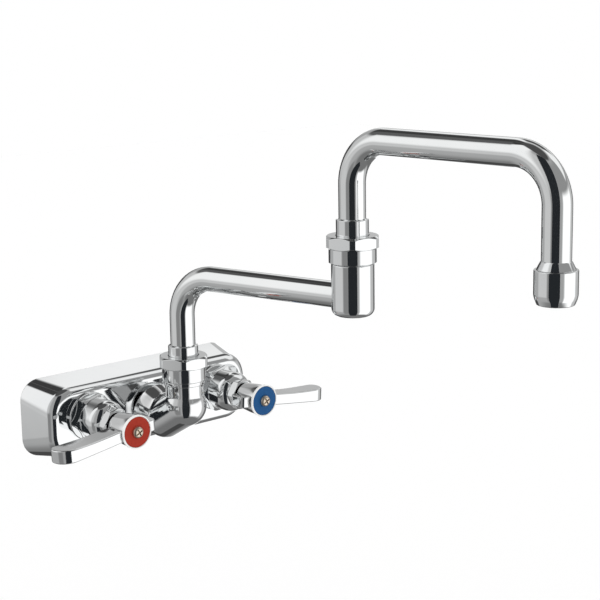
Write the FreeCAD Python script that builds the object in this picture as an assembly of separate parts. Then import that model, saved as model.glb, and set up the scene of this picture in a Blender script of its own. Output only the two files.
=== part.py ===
"""Commercial wall faucet: two quarter-turn valves on a wall cover and a double-jointed swing spout.

Frame, in millimetres: the origin is on the wall, midway between the two inlets. +X is to the right,
+Z is up and the front is -Y. `out` always means the distance out from the wall, so y = -out.
"""
import FreeCAD, Part
import math
import os

V = FreeCAD.Vector
UP = V(0, 0, 1)
OUT = V(0, -1, 0)
RIGHT = V(1, 0, 0)
TURN = 360.0

# ---- shared clearances ----
RUNNING_GAP = 0.05        # radial, shaft in its bearing
FREE_GAP = 0.35           # between pieces that turn past each other
FIT_GAP = 0.1             # between pieces that are fastened together

# ---- wall cover ----
INLET_SPACING = 101.6
COVER_LENGTH = 166.0
COVER_HEIGHT = 50.8
COVER_DEPTH = 28.6
COVER_WALL = 2.5
COVER_DROP = 2.8          # the cover's centre line lies below the inlet axes
COVER_CORNER_R = 13.4     # corners of the rim on the wall
COVER_FRONT_CORNER_R = 17.0
COVER_TAPER_ENDS = 4.6    # how far each end leans in from wall to front
COVER_TAPER_EDGES = 3.5   # the same for the top and the bottom
COVER_SHOULDER_R = 5.5
GASKET_WIDTH = 4.0
GASKET_THICKNESS = 2.5

# ---- casting behind the cover ----
BARREL_R = 13.2
NECK_R = 10.5
NECK_BORE_R = 8.7
NECK_LENGTH = 9.9         # the neck stands this far out of the barrel
INLET_BORE_R = 9.9        # half-inch pipe thread, at its pitch radius
INLET_DEPTH = 12.4
FILTER_R = 8.4
FILTER_THICKNESS = 1.2
FILTER_HOLE_R = 0.7
FILTER_HOLE_PITCH = 2.25
SEAT_THICKNESS = 1.3
SEAT_PORT_R = 4.2
CROSS_R = 7.2
CROSS_BORE_R = 4.8
CROSS_OUT = 18.6
HUB_R = 12.0
OUTLET_Z = -5.0
SHANK_R = 8.6
SHANK_LENGTH = 10.0

# ---- ceramic cartridge ----
CARTRIDGE_R = 7.6
CARTRIDGE_WALL = 1.3
SEAT_SEAL_LENGTH = 2.4
DISC_THICKNESS = 3.0
DISC_PORT_R = 2.2
DISC_PORT_OFFSET = 3.3
WINDOW_WIDTH = 6.0
WINDOW_LENGTH = 4.5
CARTRIDGE_HEAD_LENGTH = 6.0
CARTRIDGE_LIP = 1.6
CARTRIDGE_LIP_R = 10.3
NOSE_R = 6.0
NOSE_LENGTH = 15.0
BEARING_LENGTH = 4.5
PACKING_LENGTH = 1.9
PACKING_R = 5.0
BODY_RING_R = 0.8

# ---- bonnet and packing nut ----
BONNET_FLANGE_R = 15.6
BONNET_FLANGE = 2.5
BONNET_HEX_AF = 27.0
BONNET_HEX_LENGTH = 7.0
BONNET_HEX_TURN = 8.0
DOME_R = 13.3
DOME_LENGTH = 16.3
DOME_ROUND = 7.0
PACKING_NUT_AF = 18.2
PACKING_NUT_TURN = 57.0
PACKING_NUT_LENGTH = 6.2
PACKING_SPIGOT_R = 5.6

# ---- stem ----
STEM_R = 3.5
STEM_FOOT_R = 5.4
STEM_FOOT_LENGTH = 2.6
STEM_SQUARE = 4.9
STEM_SQUARE_LENGTH = 10.0
STEM_RING_R = 0.85
STEM_RING_GAP = 3.4

# ---- lever handle ----
HUB_START_GAP = 1.4       # from packing nut to lever hub
LEVER_HUB_R = 8.7         # at its foot; it widens to the boss
LEVER_HUB_LENGTH = 16.2
LEVER_BOSS_R = 10.0
LEVER_BOSS = 4.0          # behind the blade's front face
LEVER_BOSS_PROUD = 1.2    # in front of it
LEVER_REACH = 55.0        # stem axis to the tip
LEVER_TAIL = 16.6         # stem axis to the short end
LEVER_ROOT_WIDTH = 13.0
LEVER_TIP_WIDTH = 16.0
LEVER_TIP_BACK_R = 5.0    # the front corner's radius is the rest of the width
LEVER_ROOT_THICK = 7.4
LEVER_TIP_THICK = 8.5
LEVER_WAIST_THICK = 7.4
LEVER_LEAN = 5.4          # degrees away from the wall
LEVER_DROOP = 3.5         # degrees below level when the valve is shut
LEVER_SAG = 2.3           # extra drop of the blade towards its tip
LEVER_EDGE_R = 0.9
INDEX_RING_R = 10.6
INDEX_RING_LENGTH = 1.5
INDEX_DISC_R = 9.5
INDEX_DISC_THICKNESS = 0.7
INDEX_DISC_SUNK = 0.25    # below the ring round it
SCREW_R = 2.0
SCREW_LENGTH = 15.0
SCREW_HEAD_R = 3.7
SCREW_HEAD_HEIGHT = 2.4
SCREW_SLOT_WIDTH = 0.9
SCREW_SLOT_LENGTH = 4.4
SCREW_SLOT_DEPTH = 1.5

# ---- outlet elbow ----
BELL_R = 17.0
ELBOW_R = 13.9
ELBOW_LOW_OUT = 42.0
ELBOW_LOW_Z = -7.8
RISER_OUT = 62.2
ELBOW_TOP_Z = 3.6
ELBOW_BORE_R = 7.0
OUTLET_NECK_R = 12.2
BEAD_R = 12.9
BEAD_HEIGHT = 3.0
JOINT_SEAT_Z = 20.8       # top of the bead, where the lower nut ends

# ---- swivel joints, the same for both ----
SWIVEL_NECK_R = 11.6
SWIVEL_NECK_HEIGHT = 10.0
SWIVEL_BORE_R = 8.55
NUT_SKIRT_R = 13.9
NUT_SKIRT_HEIGHT = 8.3
NUT_HEX_AF = 30.0
NUT_HEX_HEIGHT = 7.4
LOWER_NUT_TURN = 52.8     # degrees from +X to a corner of the hexagon
UPPER_NUT_TURN = 46.3
NUT_CORNER_R = 16.45      # the hexagon's corners are turned off
NUT_END_R = 14.7          # where the chamfers at its two ends start
NUT_LIP = 2.4
NUT_CHAMFER = 1.2
FERRULE_SHOULDER_R = 11.1
FERRULE_SHOULDER = 2.3
SLEEVE_R = 9.5
LOWER_SLEEVE_RISE = 6.4   # above the nut
UPPER_SLEEVE_RISE = 9.2
SPIGOT_LENGTH = 15.0
SPIGOT_BORE_R = 4.8
SEAL_RING_R = 0.95
SEAL_RING_PITCH = 5.2
SEAL_RING_FIRST = 4.0
GLIDE_RING_THICKNESS = 0.6

# ---- spout tubes ----
TUBE_R = 7.94
TUBE_WALL = 1.0
BEND_R = 25.4
LOWER_RISE = 66.8         # elbow seat to the lower run
UPPER_RISE = 70.4         # knuckle seat to the upper run
UPPER_DROP = 75.9         # upper run to the aerator's mouth
LOWER_REACH = 129.6
UPPER_REACH = 142.7
LOWER_HEADING = 12.4      # degrees from straight out, towards +X
UPPER_HEADING = 2.7

# ---- knuckle between the two tubes ----
KNUCKLE_R = 12.55
KNUCKLE_DROP = 11.1       # lower run to the knuckle's bottom
KNUCKLE_RISE = 20.5       # lower run to the seat of the upper joint
KNUCKLE_STEP = 0.6
KNUCKLE_FLOOR = 4.0
KNUCKLE_ROUND = 4.6
SOCKET_WALL_LEFT = 0.4    # metal left inside the tube's brazed socket

# ---- spout tip ----
SHELL_LENGTH = 18.3
SHELL_R = 11.6
SHELL_NOSE_R = 9.9
SHELL_NOSE_HEIGHT = 4.3
SHELL_BORE_R = 9.7
SHELL_MOUTH_R = 8.2
SHELL_LIP = 1.5
ADAPTER_CONE_R = 10.4
ADAPTER_TOP_R = 8.35
ADAPTER_CONE_LENGTH = 3.9
ADAPTER_THREAD_LENGTH = 5.0
SCREEN_THICKNESS = 0.5
SCREEN_HOLE_R = 0.75
SCREEN_HOLE_PITCH = 2.45
INSERT_LENGTH = 9.2
INSERT_HOLE_R = 0.9
INSERT_HOLE_PITCH = 3.1
INSERT_WALL = 1.6
WASHER_HOLE_R = 6.8

# ---- places that follow from the sizes above ----
SIDE = {"hot": -1.0, "cold": 1.0}
BARREL_OUT = COVER_DEPTH - COVER_WALL - FIT_GAP
NECK_OUT = BARREL_OUT + NECK_LENGTH
FILTER_SEAT_OUT = INLET_DEPTH + FILTER_THICKNESS
SEAT_OUT = FILTER_SEAT_OUT + SEAT_THICKNESS
FIXED_DISC_OUT = SEAT_OUT + SEAT_SEAL_LENGTH
MOVING_DISC_OUT = FIXED_DISC_OUT + DISC_THICKNESS + RUNNING_GAP
STEM_OUT = MOVING_DISC_OUT + DISC_THICKNESS
LIP_OUT = NECK_OUT + CARTRIDGE_LIP
NOSE_OUT = LIP_OUT + NOSE_LENGTH
BONNET_END_OUT = COVER_DEPTH + BONNET_FLANGE + BONNET_HEX_LENGTH + DOME_LENGTH
GLAND_END_OUT = BONNET_END_OUT + PACKING_NUT_LENGTH
HUB_OUT = GLAND_END_OUT + HUB_START_GAP
LEVER_FACE_OUT = HUB_OUT + LEVER_HUB_LENGTH
STEM_END_OUT = LEVER_FACE_OUT - LEVER_BOSS
BOSS_OUT = LEVER_FACE_OUT + LEVER_BOSS_PROUD
INDEX_OUT = BOSS_OUT + INDEX_RING_LENGTH
DISC_FACE_OUT = INDEX_OUT - INDEX_DISC_SUNK
OUTLET_HOLE_R = SHANK_R + 2 * FREE_GAP
LOWER_RUN_Z = JOINT_SEAT_Z + LOWER_RISE
KNUCKLE_BOTTOM_Z = LOWER_RUN_Z - KNUCKLE_DROP
KNUCKLE_SEAT_Z = LOWER_RUN_Z + KNUCKLE_RISE
UPPER_RUN_Z = KNUCKLE_SEAT_Z + UPPER_RISE
TIP_Z = UPPER_RUN_Z - UPPER_DROP
SHELL_TOP_Z = TIP_Z + SHELL_LENGTH
ADAPTER_TOP_Z = SHELL_TOP_Z + ADAPTER_CONE_LENGTH
LOWER_BASE = V(0, -RISER_OUT, 0)
LOWER_DIR = V(math.sin(math.radians(LOWER_HEADING)), -math.cos(math.radians(LOWER_HEADING)), 0)
UPPER_DIR = V(math.sin(math.radians(UPPER_HEADING)), -math.cos(math.radians(UPPER_HEADING)), 0)
UPPER_BASE = LOWER_BASE + LOWER_DIR * LOWER_REACH
TIP_BASE = UPPER_BASE + UPPER_DIR * UPPER_REACH
NUT_HEIGHT = NUT_SKIRT_HEIGHT + NUT_HEX_HEIGHT
ADAPTER_END_Z = SHELL_TOP_Z - ADAPTER_THREAD_LENGTH


def turned(outline, base, direction):
    """A solid of revolution: outline lists its corners as (radius, distance along direction)."""
    corners = [V(radius, 0, along) for radius, along in outline]
    face = Part.Face(Part.makePolygon(corners + corners[:1]))
    solid = face.revolve(V(0, 0, 0), UP, TURN)
    return placed(solid, base, direction)


def placed(shape, base, direction):
    """Shape modelled about +Z, moved so that its axis runs from base along direction."""
    moved = shape.copy()
    moved.Placement = FreeCAD.Placement(base, FreeCAD.Rotation(UP, direction))
    return moved


def rod(radius, base, direction, length):
    return Part.makeCylinder(radius, length, base, direction)


def pipe_piece(outer_r, inner_r, base, direction, length):
    return rod(outer_r, base, direction, length).cut(rod(inner_r, base, direction, length))


def o_ring(centre_r, section_r, centre, direction):
    return Part.makeTorus(centre_r, section_r, centre, direction)


def ring_groove(outer_r, floor_r, section_r, centre, direction):
    """The space of a seal ring's groove, a little wider than the ring."""
    half = section_r + FIT_GAP
    return pipe_piece(outer_r, floor_r, centre - direction * half, direction, 2 * half)


def hexagon(across_flats, base, direction, length, turn):
    """A hexagonal prism whose first corner is turned by `turn` degrees."""
    corner_r = across_flats / math.sqrt(3)
    angles = [math.radians(turn + step) for step in range(0, 361, 60)]
    corners = [V(corner_r * math.cos(a), corner_r * math.sin(a), 0) for a in angles]
    prism = Part.Face(Part.makePolygon(corners)).extrude(UP * length)
    return placed(prism, base, direction)


def hexagon_chamfered(across_flats, base, direction, length, turn, chamfer):
    """A hexagonal prism with its far corners turned off by a cone."""
    corner_r = across_flats / math.sqrt(3)
    cone = turned([(0, 0), (corner_r + chamfer, 0), (corner_r + chamfer, length - chamfer),
                   (corner_r - chamfer, length), (0, length)], base, direction)
    return hexagon(across_flats, base, direction, length, turn).common(cone)


def hexagon_turned(across_flats, corner_r, end_r, base, direction, length, turn, chamfer):
    """A hexagonal prism with its corners turned off to corner_r and a chamfer at both ends."""
    blank = turned([(0, 0), (end_r, 0), (corner_r, chamfer), (corner_r, length - chamfer), (end_r, length),
                    (0, length)], base, direction)
    return hexagon(across_flats, base, direction, length, turn).common(blank)


def holes(field_r, pitch, radius, base, direction, length):
    """Round holes one pitch apart: one in the middle and rings of 6, 12, 18 and so on inside field_r."""
    tools = [rod(radius, base, direction, length)]
    for ring in range(1, int((field_r - radius) / pitch) + 1):
        for index in range(6 * ring):
            angle = math.pi * index / (3 * ring)
            local = V(math.cos(angle), math.sin(angle), 0) * (ring * pitch)
            centre = base + FreeCAD.Rotation(UP, direction).multVec(local)
            tools.append(rod(radius, centre, direction, length))
    return Part.makeCompound(tools)


def edges_on_plane(shape, axis_index, value):
    """Edges that lie in the plane where one coordinate has the given value."""
    tolerance = 1e-4
    return [edge for edge in shape.Edges
            if all(abs(vertex.Point[axis_index] - value) < tolerance for vertex in edge.Vertexes)]


def valve_point(side, out):
    return V(SIDE[side] * INLET_SPACING / 2, -out, 0)


# ---- wall cover ----

def rounded_outline(length, height, corner_r, out):
    """Wire of a rounded rectangle, centred on the cover, at a distance out from the wall."""
    half_x = length / 2 - corner_r
    half_z = height / 2 - corner_r
    corners = ((half_x, half_z, 0), (-half_x, half_z, 90), (-half_x, -half_z, 180), (half_x, -half_z, 270))
    points = []
    for x, z, start in corners:
        for step in (0, 45, 90):
            angle = math.radians(start + step)
            points.append(V(x + corner_r * math.cos(angle), -out,
                            z + corner_r * math.sin(angle) - COVER_DROP))
    edges = []
    for corner in range(4):
        first, middle, last = points[3 * corner:3 * corner + 3]
        edges.append(Part.Arc(first, middle, last).toShape())
        edges.append(Part.LineSegment(last, points[(3 * corner + 3) % 12]).toShape())
    return Part.Wire(edges)


def corner_radius(depth):
    """Radius of the cover's corners at a distance out from the wall."""
    return COVER_CORNER_R + (COVER_FRONT_CORNER_R - COVER_CORNER_R) * depth / COVER_DEPTH


def tapered_block(inset, depth):
    """The cover's tapered form, made smaller all round by inset."""
    taper = depth / COVER_DEPTH
    back = rounded_outline(COVER_LENGTH - 2 * inset, COVER_HEIGHT - 2 * inset, COVER_CORNER_R - inset, 0)
    front = rounded_outline(COVER_LENGTH - 2 * (inset + COVER_TAPER_ENDS * taper),
                            COVER_HEIGHT - 2 * (inset + COVER_TAPER_EDGES * taper),
                            corner_radius(depth) - inset, depth)
    block = Part.makeLoft([back, front], True, True)
    return block.makeFillet(COVER_SHOULDER_R - inset, edges_on_plane(block, 1, -depth))


def wall_cover():
    cover = tapered_block(0, COVER_DEPTH).cut(tapered_block(COVER_WALL, COVER_DEPTH - COVER_WALL))
    for side in SIDE:
        cover = cover.cut(rod(NECK_R + FREE_GAP, valve_point(side, 0), OUT, COVER_DEPTH))
    outlet = rod(OUTLET_HOLE_R, V(0, 0, OUTLET_Z), OUT, COVER_DEPTH)
    return cover.cut(outlet)


def cover_gasket():
    """Foam strip stuck round the inside of the rim, level with the wall."""
    taper = GASKET_THICKNESS / COVER_DEPTH
    inset = COVER_WALL + COVER_TAPER_ENDS * taper + FIT_GAP
    corner_r = corner_radius(GASKET_THICKNESS) - COVER_WALL
    outer = rounded_outline(COVER_LENGTH - 2 * inset, COVER_HEIGHT - 2 * inset, corner_r, 0)
    inset = inset + GASKET_WIDTH
    inner = rounded_outline(COVER_LENGTH - 2 * inset, COVER_HEIGHT - 2 * inset, corner_r - GASKET_WIDTH, 0)
    ring = Part.Face(outer).extrude(OUT * GASKET_THICKNESS)
    return ring.cut(Part.Face(inner).extrude(OUT * GASKET_THICKNESS))


# ---- casting ----

def valve_casting():
    """Both valve barrels, the cross passage that joins them and the hub that the outlet screws into."""
    half = INLET_SPACING / 2
    body = rod(CROSS_R, V(-half, -CROSS_OUT, 0), RIGHT, INLET_SPACING)
    body = body.fuse(rod(HUB_R, V(0, -(CROSS_OUT - CROSS_R), OUTLET_Z), OUT,
                         BARREL_OUT - CROSS_OUT + CROSS_R))
    for side in SIDE:
        body = body.fuse(rod(BARREL_R, valve_point(side, 0), OUT, BARREL_OUT))
        body = body.fuse(rod(NECK_R, valve_point(side, 0), OUT, NECK_OUT))
    body = body.cut(rod(CROSS_BORE_R, V(-half, -CROSS_OUT, 0), RIGHT, INLET_SPACING))
    for side in SIDE:
        body = body.cut(rod(INLET_BORE_R, valve_point(side, 0), OUT, INLET_DEPTH))
        body = body.cut(rod(FILTER_R + FIT_GAP, valve_point(side, 0), OUT, FILTER_SEAT_OUT))
        body = body.cut(rod(SEAT_PORT_R, valve_point(side, 0), OUT, SEAT_OUT))
        body = body.cut(rod(NECK_BORE_R, valve_point(side, SEAT_OUT), OUT, NECK_OUT))
    shank_bore = rod(SHANK_R, V(0, -(BARREL_OUT - SHANK_LENGTH), OUTLET_Z), OUT, SHANK_LENGTH)
    feed = rod(CROSS_BORE_R, V(0, -CROSS_OUT, OUTLET_Z), OUT, BARREL_OUT)
    return body.cut(shank_bore).cut(feed).removeSplitter()


def inlet_filter(side):
    base = valve_point(side, INLET_DEPTH)
    plate = rod(FILTER_R, base, OUT, FILTER_THICKNESS)
    return plate.cut(holes(FILTER_R, FILTER_HOLE_PITCH, FILTER_HOLE_R, base, OUT, FILTER_THICKNESS))


# ---- cartridge ----

def seat_seal(side):
    base = valve_point(side, SEAT_OUT)
    return pipe_piece(CARTRIDGE_R - CARTRIDGE_WALL, SEAT_PORT_R, base, OUT, SEAT_SEAL_LENGTH)


def ceramic_disc(side, out, radius):
    base = valve_point(side, out)
    places = [base + UP * offset for offset in (-DISC_PORT_OFFSET, DISC_PORT_OFFSET)]
    ports = [rod(DISC_PORT_R, place, OUT, DISC_THICKNESS) for place in places]
    return rod(radius, base, OUT, DISC_THICKNESS).cut(Part.makeCompound(ports))


def fixed_disc(side):
    return ceramic_disc(side, FIXED_DISC_OUT, CARTRIDGE_R - CARTRIDGE_WALL)


def moving_disc(side):
    return ceramic_disc(side, MOVING_DISC_OUT, CARTRIDGE_R - CARTRIDGE_WALL - FREE_GAP)


def cartridge_body(side):
    """Brass body: housing for the discs, water windows, sealing head, lip on the neck and bearing nose."""
    inner_r = CARTRIDGE_R - CARTRIDGE_WALL
    head_out = LIP_OUT - CARTRIDGE_LIP - CARTRIDGE_HEAD_LENGTH
    bearing_out = NOSE_OUT - PACKING_LENGTH - BEARING_LENGTH
    ring_chamber_r = STEM_R + STEM_RING_R + FREE_GAP
    body = turned([(inner_r, SEAT_OUT), (CARTRIDGE_R, SEAT_OUT), (CARTRIDGE_R, head_out),
                   (NECK_BORE_R - FIT_GAP, head_out), (NECK_BORE_R - FIT_GAP, NECK_OUT),
                   (CARTRIDGE_LIP_R, NECK_OUT), (CARTRIDGE_LIP_R, LIP_OUT), (NOSE_R, LIP_OUT),
                   (NOSE_R, NOSE_OUT), (PACKING_R, NOSE_OUT), (PACKING_R, NOSE_OUT - PACKING_LENGTH),
                   (STEM_R + RUNNING_GAP, NOSE_OUT - PACKING_LENGTH), (STEM_R + RUNNING_GAP, bearing_out),
                   (ring_chamber_r, bearing_out), (ring_chamber_r, head_out + CARTRIDGE_WALL),
                   (inner_r, head_out + CARTRIDGE_WALL)], valve_point(side, 0), OUT)
    window = Part.makeBox(WINDOW_WIDTH, WINDOW_LENGTH, 2 * NECK_BORE_R)
    window.translate(valve_point(side, head_out) - V(WINDOW_WIDTH / 2, 0, NECK_BORE_R))
    return body.cut(window)


def cartridge_ring(side):
    """Seal between the cartridge's head and the neck's bore, in a groove of its own."""
    return o_ring(NECK_BORE_R - FIT_GAP - BODY_RING_R, BODY_RING_R, valve_point(side, ring_out()), OUT)


def ring_out():
    return NECK_OUT - CARTRIDGE_HEAD_LENGTH / 2


def grooved_cartridge(side):
    groove_r = NECK_BORE_R - FIT_GAP - 2 * BODY_RING_R
    centre = valve_point(side, ring_out())
    return cartridge_body(side).cut(ring_groove(NECK_BORE_R, groove_r, BODY_RING_R, centre, OUT))


def stem_packing(side):
    base = valve_point(side, NOSE_OUT - PACKING_LENGTH)
    return pipe_piece(PACKING_R, STEM_R + FREE_GAP, base, OUT, PACKING_LENGTH)


# ---- bonnet and packing nut ----

def bonnet_nut(side):
    """Flanged hexagon with a domed front: clamps the cartridge's lip and the cover."""
    base = valve_point(side, COVER_DEPTH)
    hex_out = COVER_DEPTH + BONNET_FLANGE
    flange = rod(BONNET_FLANGE_R, base, OUT, BONNET_FLANGE)
    hexed = hexagon_chamfered(BONNET_HEX_AF, valve_point(side, hex_out), OUT, BONNET_HEX_LENGTH,
                              BONNET_HEX_TURN, NUT_CHAMFER)
    dome = rod(DOME_R, valve_point(side, hex_out), OUT, BONNET_HEX_LENGTH + DOME_LENGTH)
    dome = dome.makeFillet(DOME_ROUND, edges_on_plane(dome, 1, -BONNET_END_OUT))
    nut = flange.fuse(hexed).fuse(dome)
    nut = nut.cut(rod(NECK_R + FIT_GAP, base, OUT, LIP_OUT - COVER_DEPTH))
    return nut.cut(rod(NOSE_R + FIT_GAP, base, OUT, BONNET_END_OUT)).removeSplitter()


def packing_nut(side):
    base = valve_point(side, BONNET_END_OUT)
    nut = hexagon_chamfered(PACKING_NUT_AF, base, OUT, PACKING_NUT_LENGTH, PACKING_NUT_TURN, NUT_CHAMFER)
    nut = nut.fuse(rod(PACKING_SPIGOT_R, valve_point(side, NOSE_OUT), OUT, BONNET_END_OUT - NOSE_OUT))
    return nut.cut(rod(STEM_R + FREE_GAP, valve_point(side, NOSE_OUT), OUT, GLAND_END_OUT))


# ---- stem and handle ----

def stem_ring_outs():
    first = NECK_OUT - STEM_RING_GAP / 2
    return (first, first + STEM_RING_GAP)


def stem(side):
    """Turned spindle: a foot that drives the moving disc, two ring grooves and a square for the lever."""
    base = valve_point(side, STEM_OUT)
    square_out = STEM_END_OUT - STEM_SQUARE_LENGTH
    body = rod(STEM_FOOT_R, base, OUT, STEM_FOOT_LENGTH).fuse(rod(STEM_R, base, OUT, square_out - STEM_OUT))
    square = Part.makeBox(STEM_SQUARE, STEM_SQUARE_LENGTH, STEM_SQUARE)
    square.translate(valve_point(side, STEM_END_OUT) - V(STEM_SQUARE / 2, 0, STEM_SQUARE / 2))
    body = body.fuse(square)
    floor_r = STEM_R - STEM_RING_R
    for out in stem_ring_outs():
        body = body.cut(ring_groove(STEM_FOOT_R, floor_r, STEM_RING_R, valve_point(side, out), OUT))
    tapped = SCREW_LENGTH - (INDEX_OUT - STEM_END_OUT)
    return body.cut(rod(SCREW_R + FIT_GAP, valve_point(side, STEM_END_OUT - tapped), OUT, tapped))


def stem_rings(side):
    rings = [o_ring(STEM_R, STEM_RING_R, valve_point(side, out), OUT) for out in stem_ring_outs()]
    return Part.makeCompound(rings)


def lever_plan():
    """The lever from above: u runs along the blade and v back from its front face."""
    lean = -math.tan(math.radians(LEVER_LEAN))
    front_r = LEVER_TIP_WIDTH - LEVER_TIP_BACK_R
    back_r = LEVER_TIP_BACK_R
    front_tip = V(LEVER_REACH - front_r, (LEVER_REACH - front_r) * lean, 0)
    nose = front_tip + V(front_r, front_r, 0)
    back_tip = nose + V(-back_r, back_r, 0)
    off_arc = 1 - math.cos(math.radians(45))
    front_side = nose - V(front_r * off_arc, front_r * (1 - off_arc), 0)
    back_side = nose + V(-back_r * off_arc, back_r * (1 - off_arc), 0)
    tail_r = LEVER_ROOT_WIDTH / 4
    tail_mid = tail_r * off_arc
    front_tail = V(-LEVER_TAIL + tail_r, 0, 0)
    front_corner = V(-LEVER_TAIL + tail_mid, tail_mid, 0)
    front_end = V(-LEVER_TAIL, tail_r, 0)
    back_end = V(-LEVER_TAIL, LEVER_ROOT_WIDTH - tail_r, 0)
    back_corner = V(-LEVER_TAIL + tail_mid, LEVER_ROOT_WIDTH - tail_mid, 0)
    back_tail = V(-LEVER_TAIL + tail_r, LEVER_ROOT_WIDTH, 0)
    edges = [Part.LineSegment(V(0, 0, 0), front_tip).toShape(),
             Part.Arc(front_tip, front_side, nose).toShape(),
             Part.Arc(nose, back_side, back_tip).toShape(),
             Part.LineSegment(back_tip, V(0, LEVER_ROOT_WIDTH, 0)).toShape(),
             Part.LineSegment(V(0, LEVER_ROOT_WIDTH, 0), back_tail).toShape(),
             Part.Arc(back_tail, back_corner, back_end).toShape(),
             Part.LineSegment(back_end, front_end).toShape(),
             Part.Arc(front_end, front_corner, front_tail).toShape(),
             Part.LineSegment(front_tail, V(0, 0, 0)).toShape()]
    return Part.Face(Part.Wire(edges))


def lever_profile():
    """The lever from the front: top and bottom lines of the blade, each one smooth curve."""
    waist_u = LEVER_REACH * 0.45
    beyond = LEVER_REACH + LEVER_TIP_WIDTH
    sag_slope = LEVER_SAG / LEVER_REACH

    def line(sign):
        stations = ((-beyond, LEVER_ROOT_THICK, 0), (0, LEVER_ROOT_THICK, 0),
                    (waist_u, LEVER_WAIST_THICK, -LEVER_SAG * 0.7),
                    (LEVER_REACH, LEVER_TIP_THICK, -LEVER_SAG),
                    (beyond, LEVER_TIP_THICK, -beyond * sag_slope))
        curve = Part.BSplineCurve()
        curve.interpolate([V(u, 0, drop + sign * thick / 2) for u, thick, drop in stations])
        return curve.toShape()

    top = line(1)
    bottom = line(-1)
    edges = [top, bottom]
    for low, high in zip(bottom.Vertexes, top.Vertexes):
        edges.append(Part.LineSegment(low.Point, high.Point).toShape())
    return Part.Face(Part.Wire(Part.__sortEdges__(edges)))


def lever_blade():
    """The blade in its own frame: u along +X, v back along +Y from the front face at y = 0."""
    tall = LEVER_REACH
    plan = lever_plan()
    plan.translate(V(0, 0, -tall / 2))
    profile = lever_profile()
    profile.translate(V(0, -tall / 2, 0))
    blade = plan.extrude(UP * tall).common(profile.extrude(V(0, 2 * tall, 0)))
    return blade.makeFillet(LEVER_EDGE_R, blade.Edges)


def lever(side):
    """Cast lever: blade with its short tail, hub on the stem's square and boss under the index button."""
    blade = lever_blade()
    blade.rotate(V(0, 0, 0), V(0, 1, 0), LEVER_DROOP)
    blade.translate(V(0, -LEVER_FACE_OUT, 0))
    if SIDE[side] < 0:
        blade = blade.mirror(V(0, 0, 0), RIGHT)
    blade.translate(valve_point(side, 0))
    hub = turned([(0, HUB_OUT), (LEVER_HUB_R, HUB_OUT), (LEVER_BOSS_R, STEM_END_OUT), (0, STEM_END_OUT)],
                 valve_point(side, 0), OUT)
    boss = rod(LEVER_BOSS_R, valve_point(side, STEM_END_OUT), OUT, BOSS_OUT - STEM_END_OUT)
    body = blade.fuse(hub).fuse(boss)
    square = Part.makeBox(STEM_SQUARE, STEM_SQUARE_LENGTH, STEM_SQUARE)
    square.translate(valve_point(side, STEM_END_OUT) - V(STEM_SQUARE / 2, 0, STEM_SQUARE / 2))
    body = body.cut(square)
    body = body.cut(rod(STEM_R + FIT_GAP, valve_point(side, HUB_OUT), OUT,
                        STEM_END_OUT - STEM_SQUARE_LENGTH - HUB_OUT))
    return body.cut(rod(SCREW_R + FIT_GAP, valve_point(side, HUB_OUT), OUT, BOSS_OUT - HUB_OUT))


def index_ring(side):
    base = valve_point(side, BOSS_OUT)
    ring = rod(INDEX_RING_R, base, OUT, INDEX_RING_LENGTH)
    ring = ring.makeFillet(INDEX_DISC_SUNK * 2, edges_on_plane(ring, 1, -INDEX_OUT))
    floor = valve_point(side, DISC_FACE_OUT - INDEX_DISC_THICKNESS)
    pocket = rod(INDEX_DISC_R + FIT_GAP, floor, OUT, INDEX_RING_LENGTH)
    return ring.cut(pocket).cut(rod(SCREW_R + FIT_GAP, base, OUT, INDEX_RING_LENGTH))


def index_disc(side):
    base = valve_point(side, DISC_FACE_OUT - INDEX_DISC_THICKNESS)
    return pipe_piece(INDEX_DISC_R, SCREW_R + FIT_GAP, base, OUT, INDEX_DISC_THICKNESS)


def handle_screw(side):
    """Domed cross-recess screw through the index button and the lever into the stem."""
    seat = valve_point(side, DISC_FACE_OUT)
    top_out = DISC_FACE_OUT + SCREW_HEAD_HEIGHT
    head = rod(SCREW_HEAD_R, seat, OUT, SCREW_HEAD_HEIGHT)
    head = head.makeFillet(SCREW_HEAD_HEIGHT * 0.8, edges_on_plane(head, 1, -top_out))
    shank_end = INDEX_OUT - SCREW_LENGTH
    body = head.fuse(rod(SCREW_R, valve_point(side, shank_end), OUT, DISC_FACE_OUT - shank_end))
    for wide, tall in ((SCREW_SLOT_LENGTH, SCREW_SLOT_WIDTH), (SCREW_SLOT_WIDTH, SCREW_SLOT_LENGTH)):
        slot = Part.makeBox(wide, SCREW_SLOT_DEPTH, tall)
        slot.translate(valve_point(side, top_out) - V(wide / 2, 0, tall / 2))
        body = body.cut(slot)
    return body


# ---- outlet elbow ----

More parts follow.
